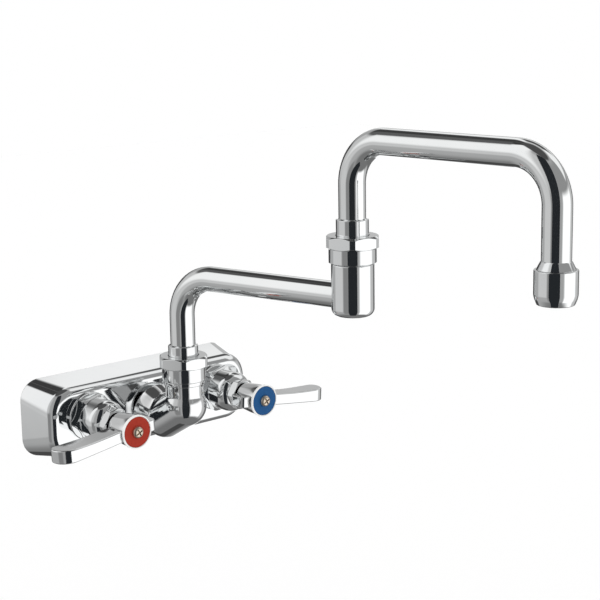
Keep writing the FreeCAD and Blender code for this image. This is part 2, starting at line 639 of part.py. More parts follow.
def outlet_elbow():
    """Shank in the hub, bell against the cover, slanting body and the upright neck of the lower swivel."""
    root = V(0, -COVER_DEPTH, OUTLET_Z)
    low = V(0, -ELBOW_LOW_OUT, ELBOW_LOW_Z)
    top = V(0, -RISER_OUT, ELBOW_TOP_Z)
    slant = top - low
    rims = [Part.Wire(Part.makeCircle(BELL_R, root, OUT)), Part.Wire(Part.makeCircle(ELBOW_R, low, OUT))]
    body = Part.makeLoft(rims, True, True).fuse(rod(ELBOW_R, low, slant, slant.Length))
    for centre in (low, top):
        body = body.fuse(Part.makeSphere(ELBOW_R, centre))
    body = body.fuse(rod(OUTLET_NECK_R, top, UP, JOINT_SEAT_Z - ELBOW_TOP_Z))
    body = body.fuse(rod(BEAD_R, top + UP * (JOINT_SEAT_Z - BEAD_HEIGHT - ELBOW_TOP_Z), UP, BEAD_HEIGHT))
    body = body.fuse(rod(SWIVEL_NECK_R, V(0, -RISER_OUT, JOINT_SEAT_Z), UP, SWIVEL_NECK_HEIGHT))
    shank_out = BARREL_OUT - SHANK_LENGTH + FIT_GAP
    body = body.fuse(rod(SHANK_R - FIT_GAP, V(0, -shank_out, OUTLET_Z), OUT, COVER_DEPTH - shank_out))
    waterway = rod(CROSS_BORE_R, V(0, -shank_out, OUTLET_Z), OUT, ELBOW_LOW_OUT - shank_out)
    waterway = waterway.fuse(rod(ELBOW_BORE_R, low, slant, slant.Length))
    for centre in (low, top):
        waterway = waterway.fuse(Part.makeSphere(ELBOW_BORE_R, centre))
    bore_z = swivel_bore_floor(JOINT_SEAT_Z)
    waterway = waterway.fuse(rod(ELBOW_BORE_R, top, UP, JOINT_SEAT_Z - ELBOW_TOP_Z))
    neck_top = JOINT_SEAT_Z + SWIVEL_NECK_HEIGHT
    waterway = waterway.fuse(rod(SWIVEL_BORE_R, V(0, -RISER_OUT, bore_z), UP, neck_top - bore_z))
    return body.cut(waterway).removeSplitter()


# ---- swivel joints ----

def swivel_bore_floor(seat_z):
    """Where the smooth bore that carries the ferrule's spigot ends."""
    return seat_z + SWIVEL_NECK_HEIGHT - SPIGOT_LENGTH - FREE_GAP


def swivel_nut(base, seat_z, turn):
    """Round skirt below, hexagon above and a lip that holds the ferrule down."""
    start = base + UP * seat_z
    hex_z = NUT_SKIRT_HEIGHT
    lip_z = NUT_HEIGHT - NUT_LIP
    nut = rod(NUT_SKIRT_R, start, UP, hex_z)
    nut = nut.fuse(hexagon_turned(NUT_HEX_AF, NUT_CORNER_R, NUT_END_R, start + UP * hex_z, UP,
                                  NUT_HEX_HEIGHT, turn, NUT_CHAMFER))
    nut = nut.cut(rod(SWIVEL_NECK_R + FIT_GAP, start, UP, lip_z))
    return nut.cut(rod(SLEEVE_R + FREE_GAP, start, UP, NUT_HEIGHT))


def glide_ring(base, seat_z):
    """Plastic ring under the nut's lip that the ferrule's shoulder turns against."""
    top = seat_z + NUT_HEIGHT - NUT_LIP
    return pipe_piece(FERRULE_SHOULDER_R, SLEEVE_R + FREE_GAP, base + UP * (top - GLIDE_RING_THICKNESS), UP,
                      GLIDE_RING_THICKNESS)


def seal_ring_heights(seat_z):
    lowest = seat_z + SWIVEL_NECK_HEIGHT - SPIGOT_LENGTH + SEAL_RING_FIRST
    return (lowest, lowest + SEAL_RING_PITCH)


def ferrule(base, seat_z, sleeve_rise):
    """Spigot with two ring grooves, shoulder under the nut's lip and the sleeve that holds the tube."""
    neck_top = seat_z + SWIVEL_NECK_HEIGHT
    spigot_z = neck_top - SPIGOT_LENGTH
    shoulder_z = neck_top + FIT_GAP
    socket_z = shoulder_z + FERRULE_SHOULDER
    sleeve_z = seat_z + NUT_HEIGHT + sleeve_rise
    groove_r = seal_centre_r() - SEAL_RING_R
    spigot_r = SWIVEL_BORE_R - RUNNING_GAP
    body = turned([(SPIGOT_BORE_R, spigot_z), (spigot_r, spigot_z), (spigot_r, shoulder_z),
                   (FERRULE_SHOULDER_R, shoulder_z), (FERRULE_SHOULDER_R, socket_z), (SLEEVE_R, socket_z),
                   (SLEEVE_R, sleeve_z), (TUBE_R, sleeve_z), (TUBE_R, socket_z),
                   (SPIGOT_BORE_R, socket_z)], base, UP)
    for height in seal_ring_heights(seat_z):
        body = body.cut(ring_groove(SWIVEL_BORE_R, groove_r, SEAL_RING_R, base + UP * height, UP))
    return body


def seal_centre_r():
    return SWIVEL_BORE_R - FREE_GAP - SEAL_RING_R


def seal_rings(base, seat_z):
    centres = [base + UP * height for height in seal_ring_heights(seat_z)]
    return Part.makeCompound([o_ring(seal_centre_r(), SEAL_RING_R, centre, UP) for centre in centres])


def tube_socket_z(seat_z):
    """Where a tube's end rests inside its ferrule."""
    return seat_z + SWIVEL_NECK_HEIGHT + FIT_GAP + FERRULE_SHOULDER


# ---- spout tubes ----

def bent_path(corners):
    """Wire of straight runs joined by arcs of the bend radius, one arc at each inner corner."""
    edges = []
    start = corners[0]
    for before, corner, after in zip(corners, corners[1:], corners[2:]):
        back = (before - corner).normalize()
        ahead = (after - corner).normalize()
        half_turn = (math.pi - back.getAngle(ahead)) / 2
        setback = BEND_R * math.tan(half_turn)
        enter = corner + back * setback
        leave = corner + ahead * setback
        inward = (back + ahead).normalize()
        middle = corner + inward * (BEND_R / math.cos(half_turn) - BEND_R)
        edges.append(Part.LineSegment(start, enter).toShape())
        edges.append(Part.Arc(enter, middle, leave).toShape())
        start = leave
    edges.append(Part.LineSegment(start, corners[-1]).toShape())
    return Part.Wire(edges)


def tube(corners):
    path = bent_path(corners)
    heading = corners[1] - corners[0]
    skins = []
    for radius in (TUBE_R, TUBE_R - TUBE_WALL):
        section = Part.Wire(Part.makeCircle(radius, corners[0], heading))
        skins.append(path.makePipeShell([section], True, False))
    return skins[0].cut(skins[1])


def lower_tube():
    socket_depth = KNUCKLE_R - SWIVEL_BORE_R - SOCKET_WALL_LEFT
    end = UPPER_BASE - LOWER_DIR * (KNUCKLE_R - socket_depth)
    return tube([LOWER_BASE + UP * tube_socket_z(JOINT_SEAT_Z), LOWER_BASE + UP * LOWER_RUN_Z,
                 end + UP * LOWER_RUN_Z])


def upper_tube():
    return tube([UPPER_BASE + UP * tube_socket_z(KNUCKLE_SEAT_Z), UPPER_BASE + UP * UPPER_RUN_Z,
                 TIP_BASE + UP * UPPER_RUN_Z, TIP_BASE + UP * SHELL_TOP_Z])


def knuckle():
    """Round barrel that the lower tube is brazed into, with the upper swivel's neck on top."""
    barrel_top = KNUCKLE_SEAT_Z - KNUCKLE_STEP
    barrel = rod(KNUCKLE_R, UPPER_BASE + UP * KNUCKLE_BOTTOM_Z, UP, barrel_top - KNUCKLE_BOTTOM_Z)
    barrel = barrel.makeFillet(KNUCKLE_ROUND, edges_on_plane(barrel, 2, KNUCKLE_BOTTOM_Z))
    neck_top = KNUCKLE_SEAT_Z + SWIVEL_NECK_HEIGHT
    body = barrel.fuse(rod(SWIVEL_NECK_R, UPPER_BASE + UP * barrel_top, UP, neck_top - barrel_top))
    bore_z = swivel_bore_floor(KNUCKLE_SEAT_Z)
    floor_z = KNUCKLE_BOTTOM_Z + KNUCKLE_FLOOR
    body = body.cut(rod(SWIVEL_BORE_R, UPPER_BASE + UP * bore_z, UP, neck_top - bore_z))
    body = body.cut(rod(SWIVEL_BORE_R - SOCKET_WALL_LEFT, UPPER_BASE + UP * floor_z, UP, bore_z - floor_z))
    socket_depth = KNUCKLE_R - SWIVEL_BORE_R - SOCKET_WALL_LEFT
    mouth = UPPER_BASE - LOWER_DIR * KNUCKLE_R + UP * LOWER_RUN_Z
    body = body.cut(rod(TUBE_R, mouth, LOWER_DIR, socket_depth))
    return body.cut(rod(TUBE_R - TUBE_WALL, mouth, LOWER_DIR, KNUCKLE_R))


# ---- spout tip ----

def tip_adapter():
    """Cone brazed on the tube's end, with a male thread for the aerator's shell."""
    thread_r = SHELL_BORE_R - FIT_GAP
    return turned([(TUBE_R, SHELL_TOP_Z), (TUBE_R, ADAPTER_TOP_Z), (ADAPTER_TOP_R, ADAPTER_TOP_Z),
                   (ADAPTER_CONE_R, SHELL_TOP_Z), (thread_r, SHELL_TOP_Z), (thread_r, ADAPTER_END_Z),
                   (TUBE_R - TUBE_WALL, ADAPTER_END_Z), (TUBE_R - TUBE_WALL, SHELL_TOP_Z)], TIP_BASE, UP)


def aerator_shell():
    lip_z = TIP_Z + SHELL_LIP
    return turned([(SHELL_MOUTH_R, TIP_Z), (SHELL_NOSE_R, TIP_Z), (SHELL_R, TIP_Z + SHELL_NOSE_HEIGHT),
                   (SHELL_R, SHELL_TOP_Z), (SHELL_BORE_R, SHELL_TOP_Z), (SHELL_BORE_R, lip_z),
                   (SHELL_MOUTH_R, lip_z)], TIP_BASE, UP)


def aerator_screen():
    base = TIP_BASE + UP * (TIP_Z + SHELL_LIP)
    disc = rod(SHELL_BORE_R - FIT_GAP, base, UP, SCREEN_THICKNESS)
    return disc.cut(holes(SHELL_MOUTH_R, SCREEN_HOLE_PITCH, SCREEN_HOLE_R, base, UP, SCREEN_THICKNESS))


def aerator_insert():
    """Plastic mixer: a cup with a perforated crown that breaks the jet up."""
    base_z = TIP_Z + SHELL_LIP + SCREEN_THICKNESS
    top_z = insert_top()
    radius = SHELL_BORE_R - FIT_GAP
    crown_z = top_z - INSERT_WALL
    inner_r = radius - INSERT_WALL
    cup = turned([(inner_r, base_z), (radius, base_z), (radius, top_z), (0, top_z), (0, crown_z),
                  (inner_r, crown_z)], TIP_BASE, UP)
    crown = TIP_BASE + UP * crown_z
    return cup.cut(holes(inner_r, INSERT_HOLE_PITCH, INSERT_HOLE_R, crown, UP, INSERT_WALL))


def insert_top():
    return TIP_Z + SHELL_LIP + SCREEN_THICKNESS + INSERT_LENGTH


def aerator_washer():
    """Rubber washer squeezed between the insert and the adapter's thread."""
    base_z = insert_top()
    length = ADAPTER_END_Z - base_z
    return pipe_piece(SHELL_BORE_R - FIT_GAP, WASHER_HOLE_R, TIP_BASE + UP * base_z, UP, length)


def valve_pieces(side):
    """Every piece of one valve and its handle, by name."""
    makers = {"inlet_filter": inlet_filter, "seat_seal": seat_seal, "fixed_disc": fixed_disc,
              "moving_disc": moving_disc, "cartridge_body": grooved_cartridge,
              "cartridge_ring": cartridge_ring, "stem_packing": stem_packing,
              "bonnet_nut": bonnet_nut, "packing_nut": packing_nut, "stem": stem,
              "stem_rings": stem_rings, "lever": lever, "index_ring": index_ring,
              "index_disc": index_disc, "handle_screw": handle_screw}
    return {side + "_" + name: make(side) for name, make in makers.items()}


def all_pieces():
    pieces = {"wall_cover": wall_cover(), "cover_gasket": cover_gasket(), "valve_casting": valve_casting(),
              "outlet_elbow": outlet_elbow(),
              "lower_swivel_nut": swivel_nut(LOWER_BASE, JOINT_SEAT_Z, LOWER_NUT_TURN),
              "lower_glide_ring": glide_ring(LOWER_BASE, JOINT_SEAT_Z),
              "lower_ferrule": ferrule(LOWER_BASE, JOINT_SEAT_Z, LOWER_SLEEVE_RISE),
              "lower_seal_rings": seal_rings(LOWER_BASE, JOINT_SEAT_Z),
              "lower_tube": lower_tube(), "knuckle": knuckle(),
              "upper_swivel_nut": swivel_nut(UPPER_BASE, KNUCKLE_SEAT_Z, UPPER_NUT_TURN),
              "upper_glide_ring": glide_ring(UPPER_BASE, KNUCKLE_SEAT_Z),
              "upper_ferrule": ferrule(UPPER_BASE, KNUCKLE_SEAT_Z, UPPER_SLEEVE_RISE),
              "upper_seal_rings": seal_rings(UPPER_BASE, KNUCKLE_SEAT_Z),
              "upper_tube": upper_tube(), "tip_adapter": tip_adapter(), "aerator_shell": aerator_shell(),
              "aerator_screen": aerator_screen(), "aerator_insert": aerator_insert(),
              "aerator_washer": aerator_washer()}
    for side in SIDE:
        pieces.update(valve_pieces(side))
    return pieces


os.makedirs("parts", exist_ok=True)
for node, shape in all_pieces().items():
    shape.exportStep(os.path.join("parts", node + ".step"))
    print(node, shape.isValid(), len(shape.Solids), round(shape.Volume, 1))
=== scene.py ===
import bmesh
import bpy
import math
from mathutils import Matrix, Vector


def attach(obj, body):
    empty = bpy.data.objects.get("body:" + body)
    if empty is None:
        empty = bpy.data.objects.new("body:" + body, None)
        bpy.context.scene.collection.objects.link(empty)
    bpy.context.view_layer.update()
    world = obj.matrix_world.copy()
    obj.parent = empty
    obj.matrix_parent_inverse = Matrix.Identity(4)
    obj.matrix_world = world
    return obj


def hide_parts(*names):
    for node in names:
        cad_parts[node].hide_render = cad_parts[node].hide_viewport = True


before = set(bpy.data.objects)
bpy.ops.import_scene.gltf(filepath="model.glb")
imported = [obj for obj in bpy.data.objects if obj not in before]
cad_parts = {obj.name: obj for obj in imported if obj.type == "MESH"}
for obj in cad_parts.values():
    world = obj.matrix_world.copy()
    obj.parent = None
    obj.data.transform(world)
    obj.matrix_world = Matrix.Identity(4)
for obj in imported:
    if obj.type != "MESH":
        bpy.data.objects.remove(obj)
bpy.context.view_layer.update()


# ---- Wall cover ----
# The long hollow box against the wall: a brass pressing with leaning sides and a round shoulder,
# polished and chrome plated. The two bonnet nuts clamp it, and its open back stands on the wall.

def linear(colour):
    """An sRGB hex colour as the linear colour that a shader takes."""
    parts = [int(colour[i:i + 2], 16) / 255 for i in (1, 3, 5)]
    return [c / 12.92 if c <= 0.04045 else ((c + 0.055) / 1.055) ** 2.4 for c in parts] + [1.0]


def add(tree, kind, inputs, **settings):
    """Adds one node: inputs gives each socket a value, or another node's socket to link from."""
    node = tree.nodes.new(kind)
    for name, value in settings.items():
        setattr(node, name, value)
    for name, value in inputs.items():
        if isinstance(value, bpy.types.NodeSocket):
            tree.links.new(value, node.inputs[name])
        else:
            node.inputs[name].default_value = value
    return node


def new_material(name):
    material = bpy.data.materials.new(name)
    material.use_nodes = True
    material.node_tree.nodes.clear()
    place = add(material.node_tree, "ShaderNodeTexCoord", {}).outputs["Object"]
    return material, material.node_tree, place


def chrome(name, bright, dim, swell_mm, swell, smooth, worn):
    """Chrome plate: the metal under it gives the long swell, and handling gives faint dull patches."""
    material, tree, place = new_material(name)
    patches = add(tree, "ShaderNodeTexNoise", {"Vector": place, "Scale": 1 / 0.018, "Detail": 3.0})
    tint = add(tree, "ShaderNodeMix", {0: patches.outputs["Fac"], 6: linear(bright), 7: linear(dim)},
               data_type="RGBA")
    gloss = add(tree, "ShaderNodeMapRange", {"Value": patches.outputs["Fac"], "From Min": 0.35,
                                             "From Max": 0.7, "To Min": smooth, "To Max": worn})
    waves = add(tree, "ShaderNodeTexNoise", {"Vector": place, "Scale": 1000 / swell_mm, "Detail": 1.0})
    bump = add(tree, "ShaderNodeBump", {"Height": waves.outputs["Fac"], "Strength": swell,
                                        "Distance": 0.0002})
    plate = add(tree, "ShaderNodeBsdfPrincipled", {"Base Color": tint.outputs[2], "Metallic": 1.0,
                                                   "Roughness": gloss.outputs["Result"],
                                                   "Normal": bump.outputs["Normal"]})
    add(tree, "ShaderNodeOutputMaterial", {"Surface": plate.outputs["BSDF"]})
    return material


def soften(bm, edges, radius, segments):
    """Rounds edges with arcs of that radius, in millimetres."""
    bmesh.ops.bevel(bm, geom=edges, offset=radius, offset_type="OFFSET", segments=segments, profile=0.5,
                    affect="EDGES", clamp_overlap=True, material=-1)


def sharp_edges(bm, degrees):
    return [edge for edge in bm.edges
            if len(edge.link_faces) == 2 and edge.calc_face_angle() > math.radians(degrees)]


def fit(bm, name, finish, slot, body, *nodes):
    """Turns a finished form, drawn in millimetres, into the piece that stands for those CAD nodes."""
    bmesh.ops.remove_doubles(bm, verts=bm.verts, dist=0.001)
    bmesh.ops.recalc_face_normals(bm, faces=bm.faces)
    mesh = bpy.data.meshes.new(name)
    bm.to_mesh(mesh)
    bm.free()
    mesh.transform(Matrix.Scale(0.001, 4))
    mesh.shade_smooth()
    mesh.set_sharp_from_angle(angle=math.radians(35))
    mesh.materials.append(finish)
    piece = bpy.data.objects.new(name, mesh)
    bpy.context.scene.collection.objects.link(piece)
    flats = piece.modifiers.new("even_flats", "WEIGHTED_NORMAL")
    flats.keep_sharp = True
    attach(piece, body)
    if nodes:
        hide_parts(*nodes)
    return piece


def dress(finish, *nodes):
    """Gives CAD nodes that keep their own shape a finish."""
    for node in nodes:
        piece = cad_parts[node]
        for socket in piece.material_slots:
            socket.material = finish


INLET_X = 50.8
COVER_LENGTH = 166.0
COVER_HEIGHT = 50.8
COVER_DEPTH = 28.6
COVER_DROP = 2.8
RIM_CORNER = 13.4
FRONT_CORNER = 17.0
END_LEAN = 4.6
EDGE_LEAN = 3.5
SHOULDER = 5.5
COVER_WALL = 2.5
RIM_ROUND = 0.7
pressed_chrome = chrome("polished chrome plate on pressed brass", "#E9EAEA", "#E2E4E5", 26, 0.02, 0.05, 0.07)

bm = bmesh.new()
corners = [bm.verts.new((x * COVER_LENGTH / 2, 0, z * COVER_HEIGHT / 2 - COVER_DROP))
           for x, z in ((-1, -1), (1, -1), (1, 1), (-1, 1))]
bm.faces.new(corners)
bmesh.ops.bevel(bm, geom=corners, offset=RIM_CORNER, offset_type="OFFSET", segments=14, profile=0.5,
                affect="VERTICES", material=-1)
grown = bmesh.ops.extrude_face_region(bm, geom=bm.faces[:], use_keep_orig=True)["geom"]
front = [part for part in grown if isinstance(part, bmesh.types.BMVert)]
for point in front:
    side = math.copysign(1, point.co.x)
    rise = math.copysign(1, point.co.z + COVER_DROP)
    centre = Vector((side * (COVER_LENGTH / 2 - RIM_CORNER), 0,
                     rise * (COVER_HEIGHT / 2 - RIM_CORNER) - COVER_DROP))
    moved = Vector((side * (COVER_LENGTH / 2 - END_LEAN - FRONT_CORNER), -COVER_DEPTH,
                    rise * (COVER_HEIGHT / 2 - EDGE_LEAN - FRONT_CORNER) - COVER_DROP))
    point.co = moved + (point.co - centre) * FRONT_CORNER / RIM_CORNER
shoulder = [edge for edge in bm.edges if all(end in front for end in edge.verts)]
bmesh.ops.bevel(bm, geom=shoulder, offset=SHOULDER, offset_type="OFFSET", segments=12, profile=0.5,
                affect="EDGES", clamp_overlap=False, material=-1)
bmesh.ops.delete(bm, geom=[face for face in bm.faces if abs(face.calc_center_median().y) < 0.01],
                 context="FACES_ONLY")
bmesh.ops.recalc_face_normals(bm, faces=bm.faces)
bmesh.ops.solidify(bm, geom=bm.faces[:], thickness=COVER_WALL)
for point in bm.verts:
    point.co.y = min(point.co.y, 0)
rim = [edge for edge in bm.edges if all(abs(end.co.y) < 0.001 for end in edge.verts)
       and edge.calc_face_angle() > 1]
soften(bm, rim, RIM_ROUND, 4)
for point in bm.verts:
    point.co.y = min(point.co.y, 0)
fit(bm, "cover_shell", pressed_chrome, "chrome_plate", "wall_body", "wall_cover")


# ---- Foam gasket ----
# A strip of black closed-cell foam stuck round the inside of the cover's rim. It is die cut, so its
# faces show the cut cells as fine pits.

foam, tree, place = new_material("die-cut closed-cell foam")
cells = add(tree, "ShaderNodeTexVoronoi", {"Vector": place, "Scale": 1 / 0.0009})
shade = add(tree, "ShaderNodeValToRGB", {"Fac": cells.outputs["Distance"]})
shade.color_ramp.elements[0].color = linear("#1C1D1E")
shade.color_ramp.elements[1].color = linear("#36383A")
pits = add(tree, "ShaderNodeBump", {"Height": cells.outputs["Distance"], "Strength": 0.6, "Distance": 0.0003})
skin = add(tree, "ShaderNodeBsdfPrincipled", {"Base Color": shade.outputs["Color"], "Roughness": 0.85,
                                              "Normal": pits.outputs["Normal"]})
add(tree, "ShaderNodeOutputMaterial", {"Surface": skin.outputs["BSDF"]})
dress(foam, "cover_gasket")


# ---- Valve casting ----
# Both valve barrels and the passage between them are one sand casting in brass, left rough outside
# and machined where the supply pipes, the cartridges and the outlet screw in.

cast_brass, tree, place = new_material("sand-cast brass, left rough")
grain = add(tree, "ShaderNodeTexNoise", {"Vector": place, "Scale": 1 / 0.0011, "Detail": 4.0})
stain = add(tree, "ShaderNodeTexNoise", {"Vector": place, "Scale": 1 / 0.014, "Detail": 3.0})
tone = add(tree, "ShaderNodeValToRGB", {"Fac": stain.outputs["Fac"]})
tone.color_ramp.elements[0].color = linear("#8A6B3A")
tone.color_ramp.elements[1].color = linear("#C3A25E")
dull = add(tree, "ShaderNodeMapRange", {"Value": stain.outputs["Fac"], "To Min": 0.38, "To Max": 0.6})
pits = add(tree, "ShaderNodeBump", {"Height": grain.outputs["Fac"], "Strength": 0.5, "Distance": 0.0003})
skin = add(tree, "ShaderNodeBsdfPrincipled", {"Base Color": tone.outputs["Color"], "Metallic": 1.0,
                                              "Roughness": dull.outputs["Result"],
                                              "Normal": pits.outputs["Normal"]})
add(tree, "ShaderNodeOutputMaterial", {"Surface": skin.outputs["BSDF"]})
dress(cast_brass, "valve_casting")


# ---- Inlet filters and aerator screen ----
# Round stainless sheets punched with rows of small holes. The sheet keeps the straight brush marks
# it was rolled with.

sheet_steel, tree, place = new_material("punched stainless sheet")
drawn = add(tree, "ShaderNodeMapping", {"Vector": place, "Scale": (1 / 0.012, 1 / 0.0004, 1 / 0.0004)})
lines = add(tree, "ShaderNodeTexNoise", {"Vector": drawn.outputs["Vector"], "Scale": 1.0, "Detail": 2.0})
tone = add(tree, "ShaderNodeValToRGB", {"Fac": lines.outputs["Fac"]})
tone.color_ramp.elements[0].color = linear("#9FA1A1")
tone.color_ramp.elements[1].color = linear("#C6C7C6")
marks = add(tree, "ShaderNodeBump", {"Height": lines.outputs["Fac"], "Strength": 0.15, "Distance": 0.0001})
skin = add(tree, "ShaderNodeBsdfPrincipled", {"Base Color": tone.outputs["Color"], "Metallic": 1.0,
                                              "Roughness": 0.3, "Normal": marks.outputs["Normal"]})
add(tree, "ShaderNodeOutputMaterial", {"Surface": skin.outputs["BSDF"]})
dress(sheet_steel, "hot_inlet_filter", "cold_inlet_filter", "aerator_screen")


# ---- Seals ----
# Moulded rubber rings and washers: the seat seals, the rings on cartridges, stems and spigots, and
# the aerator's washer. Moulding leaves them satin, with a faint bloom.

rubber, tree, place = new_material("moulded nitrile rubber")
bloom = add(tree, "ShaderNodeTexNoise", {"Vector": place, "Scale": 1 / 0.003, "Detail": 4.0})
tone = add(tree, "ShaderNodeValToRGB", {"Fac": bloom.outputs["Fac"]})
tone.color_ramp.elements[0].color = linear("#161617")
tone.color_ramp.elements[1].color = linear("#2B2C2D")
satin = add(tree, "ShaderNodeMapRange", {"Value": bloom.outputs["Fac"], "To Min": 0.42, "To Max": 0.62})
grit = add(tree, "ShaderNodeTexNoise", {"Vector": place, "Scale": 1 / 0.0003})
feel = add(tree, "ShaderNodeBump", {"Height": grit.outputs["Fac"], "Strength": 0.1, "Distance": 0.0001})
skin = add(tree, "ShaderNodeBsdfPrincipled", {"Base Color": tone.outputs["Color"],
                                              "Roughness": satin.outputs["Result"],
                                              "Normal": feel.outputs["Normal"]})
add(tree, "ShaderNodeOutputMaterial", {"Surface": skin.outputs["BSDF"]})
dress(rubber, "lower_seal_rings", "upper_seal_rings", "aerator_washer")
for valve in ("hot", "cold"):
    dress(rubber, valve + "_seat_seal", valve + "_cartridge_ring", valve + "_stem_rings")


# ---- Ceramic discs ----
# Two alumina discs in each valve, lapped flat so that water can't pass between them. Ground alumina
# is ivory white with a faint speckle.

alumina, tree, place = new_material("lapped alumina ceramic")
speckle = add(tree, "ShaderNodeTexNoise", {"Vector": place, "Scale": 1 / 0.0005, "Detail": 2.0})
tone = add(tree, "ShaderNodeValToRGB", {"Fac": speckle.outputs["Fac"]})
tone.color_ramp.elements[0].color = linear("#E4E0D6")
tone.color_ramp.elements[1].color = linear("#F1EEE6")
sheen = add(tree, "ShaderNodeMapRange", {"Value": speckle.outputs["Fac"], "To Min": 0.22, "To Max": 0.34})
skin = add(tree, "ShaderNodeBsdfPrincipled", {"Base Color": tone.outputs["Color"],
                                              "Roughness": sheen.outputs["Result"], "IOR": 1.76})
add(tree, "ShaderNodeOutputMaterial", {"Surface": skin.outputs["BSDF"]})
dress(alumina, "hot_fixed_disc", "cold_fixed_disc", "hot_moving_disc", "cold_moving_disc")


# ---- Cartridges and stems ----
# Free-cutting brass turned on a lathe: fine rings run round the valve's axis. Each stem shows only in
# the narrow gap between its packing nut and its lever.

for valve, x in (("hot", -INLET_X), ("cold", INLET_X)):
    turned_brass, tree, place = new_material("turned brass, " + valve)
    centred = add(tree, "ShaderNodeMapping", {"Vector": place, "Location": (-x / 1000, 0, 0),
                                              "Scale": (0.05, 1.0, 0.05)})
    rings = add(tree, "ShaderNodeTexNoise", {"Vector": centred.outputs["Vector"], "Scale": 1 / 0.00045})
    tone = add(tree, "ShaderNodeValToRGB", {"Fac": rings.outputs["Fac"]})
    tone.color_ramp.elements[0].color = linear("#B8954C")
    tone.color_ramp.elements[1].color = linear("#DCC07C")
    feed = add(tree, "ShaderNodeBump", {"Height": rings.outputs["Fac"], "Strength": 0.12, "Distance": 0.0001})
    skin = add(tree, "ShaderNodeBsdfPrincipled", {"Base Color": tone.outputs["Color"], "Metallic": 1.0,
                                                  "Roughness": 0.24, "Normal": feed.outputs["Normal"]})
    add(tree, "ShaderNodeOutputMaterial", {"Surface": skin.outputs["BSDF"]})
    dress(turned_brass, valve + "_cartridge_body", valve + "_stem")


# ---- Stem packings and glide rings ----
# Soft white fluoroplastic: a packing round each stem under its nut, and a thin ring that each swivel
# joint turns on. It is waxy and takes faint rub marks.

waxy, tree, place = new_material("machined white fluoroplastic")
rubs = add(tree, "ShaderNodeTexNoise", {"Vector": place, "Scale": 1 / 0.002, "Detail": 3.0})
tone = add(tree, "ShaderNodeValToRGB", {"Fac": rubs.outputs["Fac"]})
tone.color_ramp.elements[0].color = linear("#DCDCD6")
tone.color_ramp.elements[1].color = linear("#EFEFEA")
skin = add(tree, "ShaderNodeBsdfPrincipled", {"Base Color": tone.outputs["Color"], "Roughness": 0.45,
                                              "IOR": 1.35, "Subsurface Weight": 0.05,
                                              "Subsurface Scale": 0.001})
add(tree, "ShaderNodeOutputMaterial", {"Surface": skin.outputs["BSDF"]})
dress(waxy, "hot_stem_packing", "cold_stem_packing", "lower_glide_ring", "upper_glide_ring")


# ---- Bonnet nuts ----
# Each is turned from brass bar as a flange, a hexagon and a domed front, then polished and chrome
# plated. It screws onto the valve's neck and clamps the cover.

def turn(outline, rounds=()):
    """A form turned about +Z from (radius, height) corners; rounds lists (corner, size, segments)."""
    bm = bmesh.new()
    corners = [bm.verts.new((radius, 0, height)) for radius, height in outline]
    bm.faces.new(corners)
    for number, size, segments in rounds:
        bmesh.ops.bevel(bm, geom=[corners[number]], offset=size, offset_type="OFFSET", segments=segments,
                        profile=0.5, affect="VERTICES", material=-1)
    bmesh.ops.delete(bm, geom=bm.faces[:], context="FACES_ONLY")
    on_axis = [edge for edge in bm.edges if all(end.co.x < 1e-6 for end in edge.verts)]
    bmesh.ops.delete(bm, geom=on_axis, context="EDGES")
    bmesh.ops.spin(bm, geom=bm.verts[:] + bm.edges[:], cent=(0, 0, 0), axis=(0, 0, 1), dvec=(0, 0, 0),
                   angle=math.tau, steps=96, use_merge=True, use_duplicate=False)
    bmesh.ops.remove_doubles(bm, verts=bm.verts, dist=0.001)
    bmesh.ops.recalc_face_normals(bm, faces=bm.faces)
    return bm


def mill_hexagon(bm, across_flats, first_corner):
    """Cuts six flats on a turned blank; first_corner is in degrees from +X."""
    for side in range(6):
        angle = math.radians(first_corner + 30 + 60 * side)
        outward = Vector((math.cos(angle), math.sin(angle), 0))
        cut = bmesh.ops.bisect_plane(bm, geom=bm.verts[:] + bm.edges[:] + bm.faces[:], dist=0.0001,
                                     plane_co=outward * across_flats / 2, plane_no=outward,
                                     clear_outer=True)
        bmesh.ops.edgeloop_fill(bm, edges=[part for part in cut["geom_cut"]
                                           if isinstance(part, bmesh.types.BMEdge)])
    bmesh.ops.recalc_face_normals(bm, faces=bm.faces)


def bar(corner_r, face_r, low, high):
    """The outside of a bar with both ends chamfered at 32 degrees, as (radius, height) corners."""
    chamfer = (corner_r - face_r) * math.tan(math.radians(32))
    return [(face_r, low), (corner_r, low + chamfer), (corner_r, high - chamfer), (face_r, high)]


def join(forms):
    """Puts several closed forms in one."""
    whole = bmesh.new()
    for bm in forms:
        mesh = bpy.data.meshes.new("part")
        bm.to_mesh(mesh)
        bm.free()
        whole.from_mesh(mesh)
        bpy.data.meshes.remove(mesh)
    return whole


def face_out(bm, x, out, z=0.0):
    """Moves a form turned about +Z so that it points away from the wall, from that place on."""
    move = Matrix.Translation((x, -out, z)) @ Matrix.Rotation(math.radians(90), 4, "X")
    bmesh.ops.transform(bm, matrix=move, verts=bm.verts)
    return bm


FLANGE_R = 15.6
FLANGE = 2.5
BONNET_FLATS = 27.0
HEXAGON_END = 9.5
DOME_R = 13.3
BONNET_LENGTH = 25.8
DOME_ROUND = 7.0
NECK_BORE = 8.0
turned_chrome = chrome("polished chrome plate on turned brass", "#EBECEC", "#E3E5E6", 14, 0.015, 0.04, 0.06)

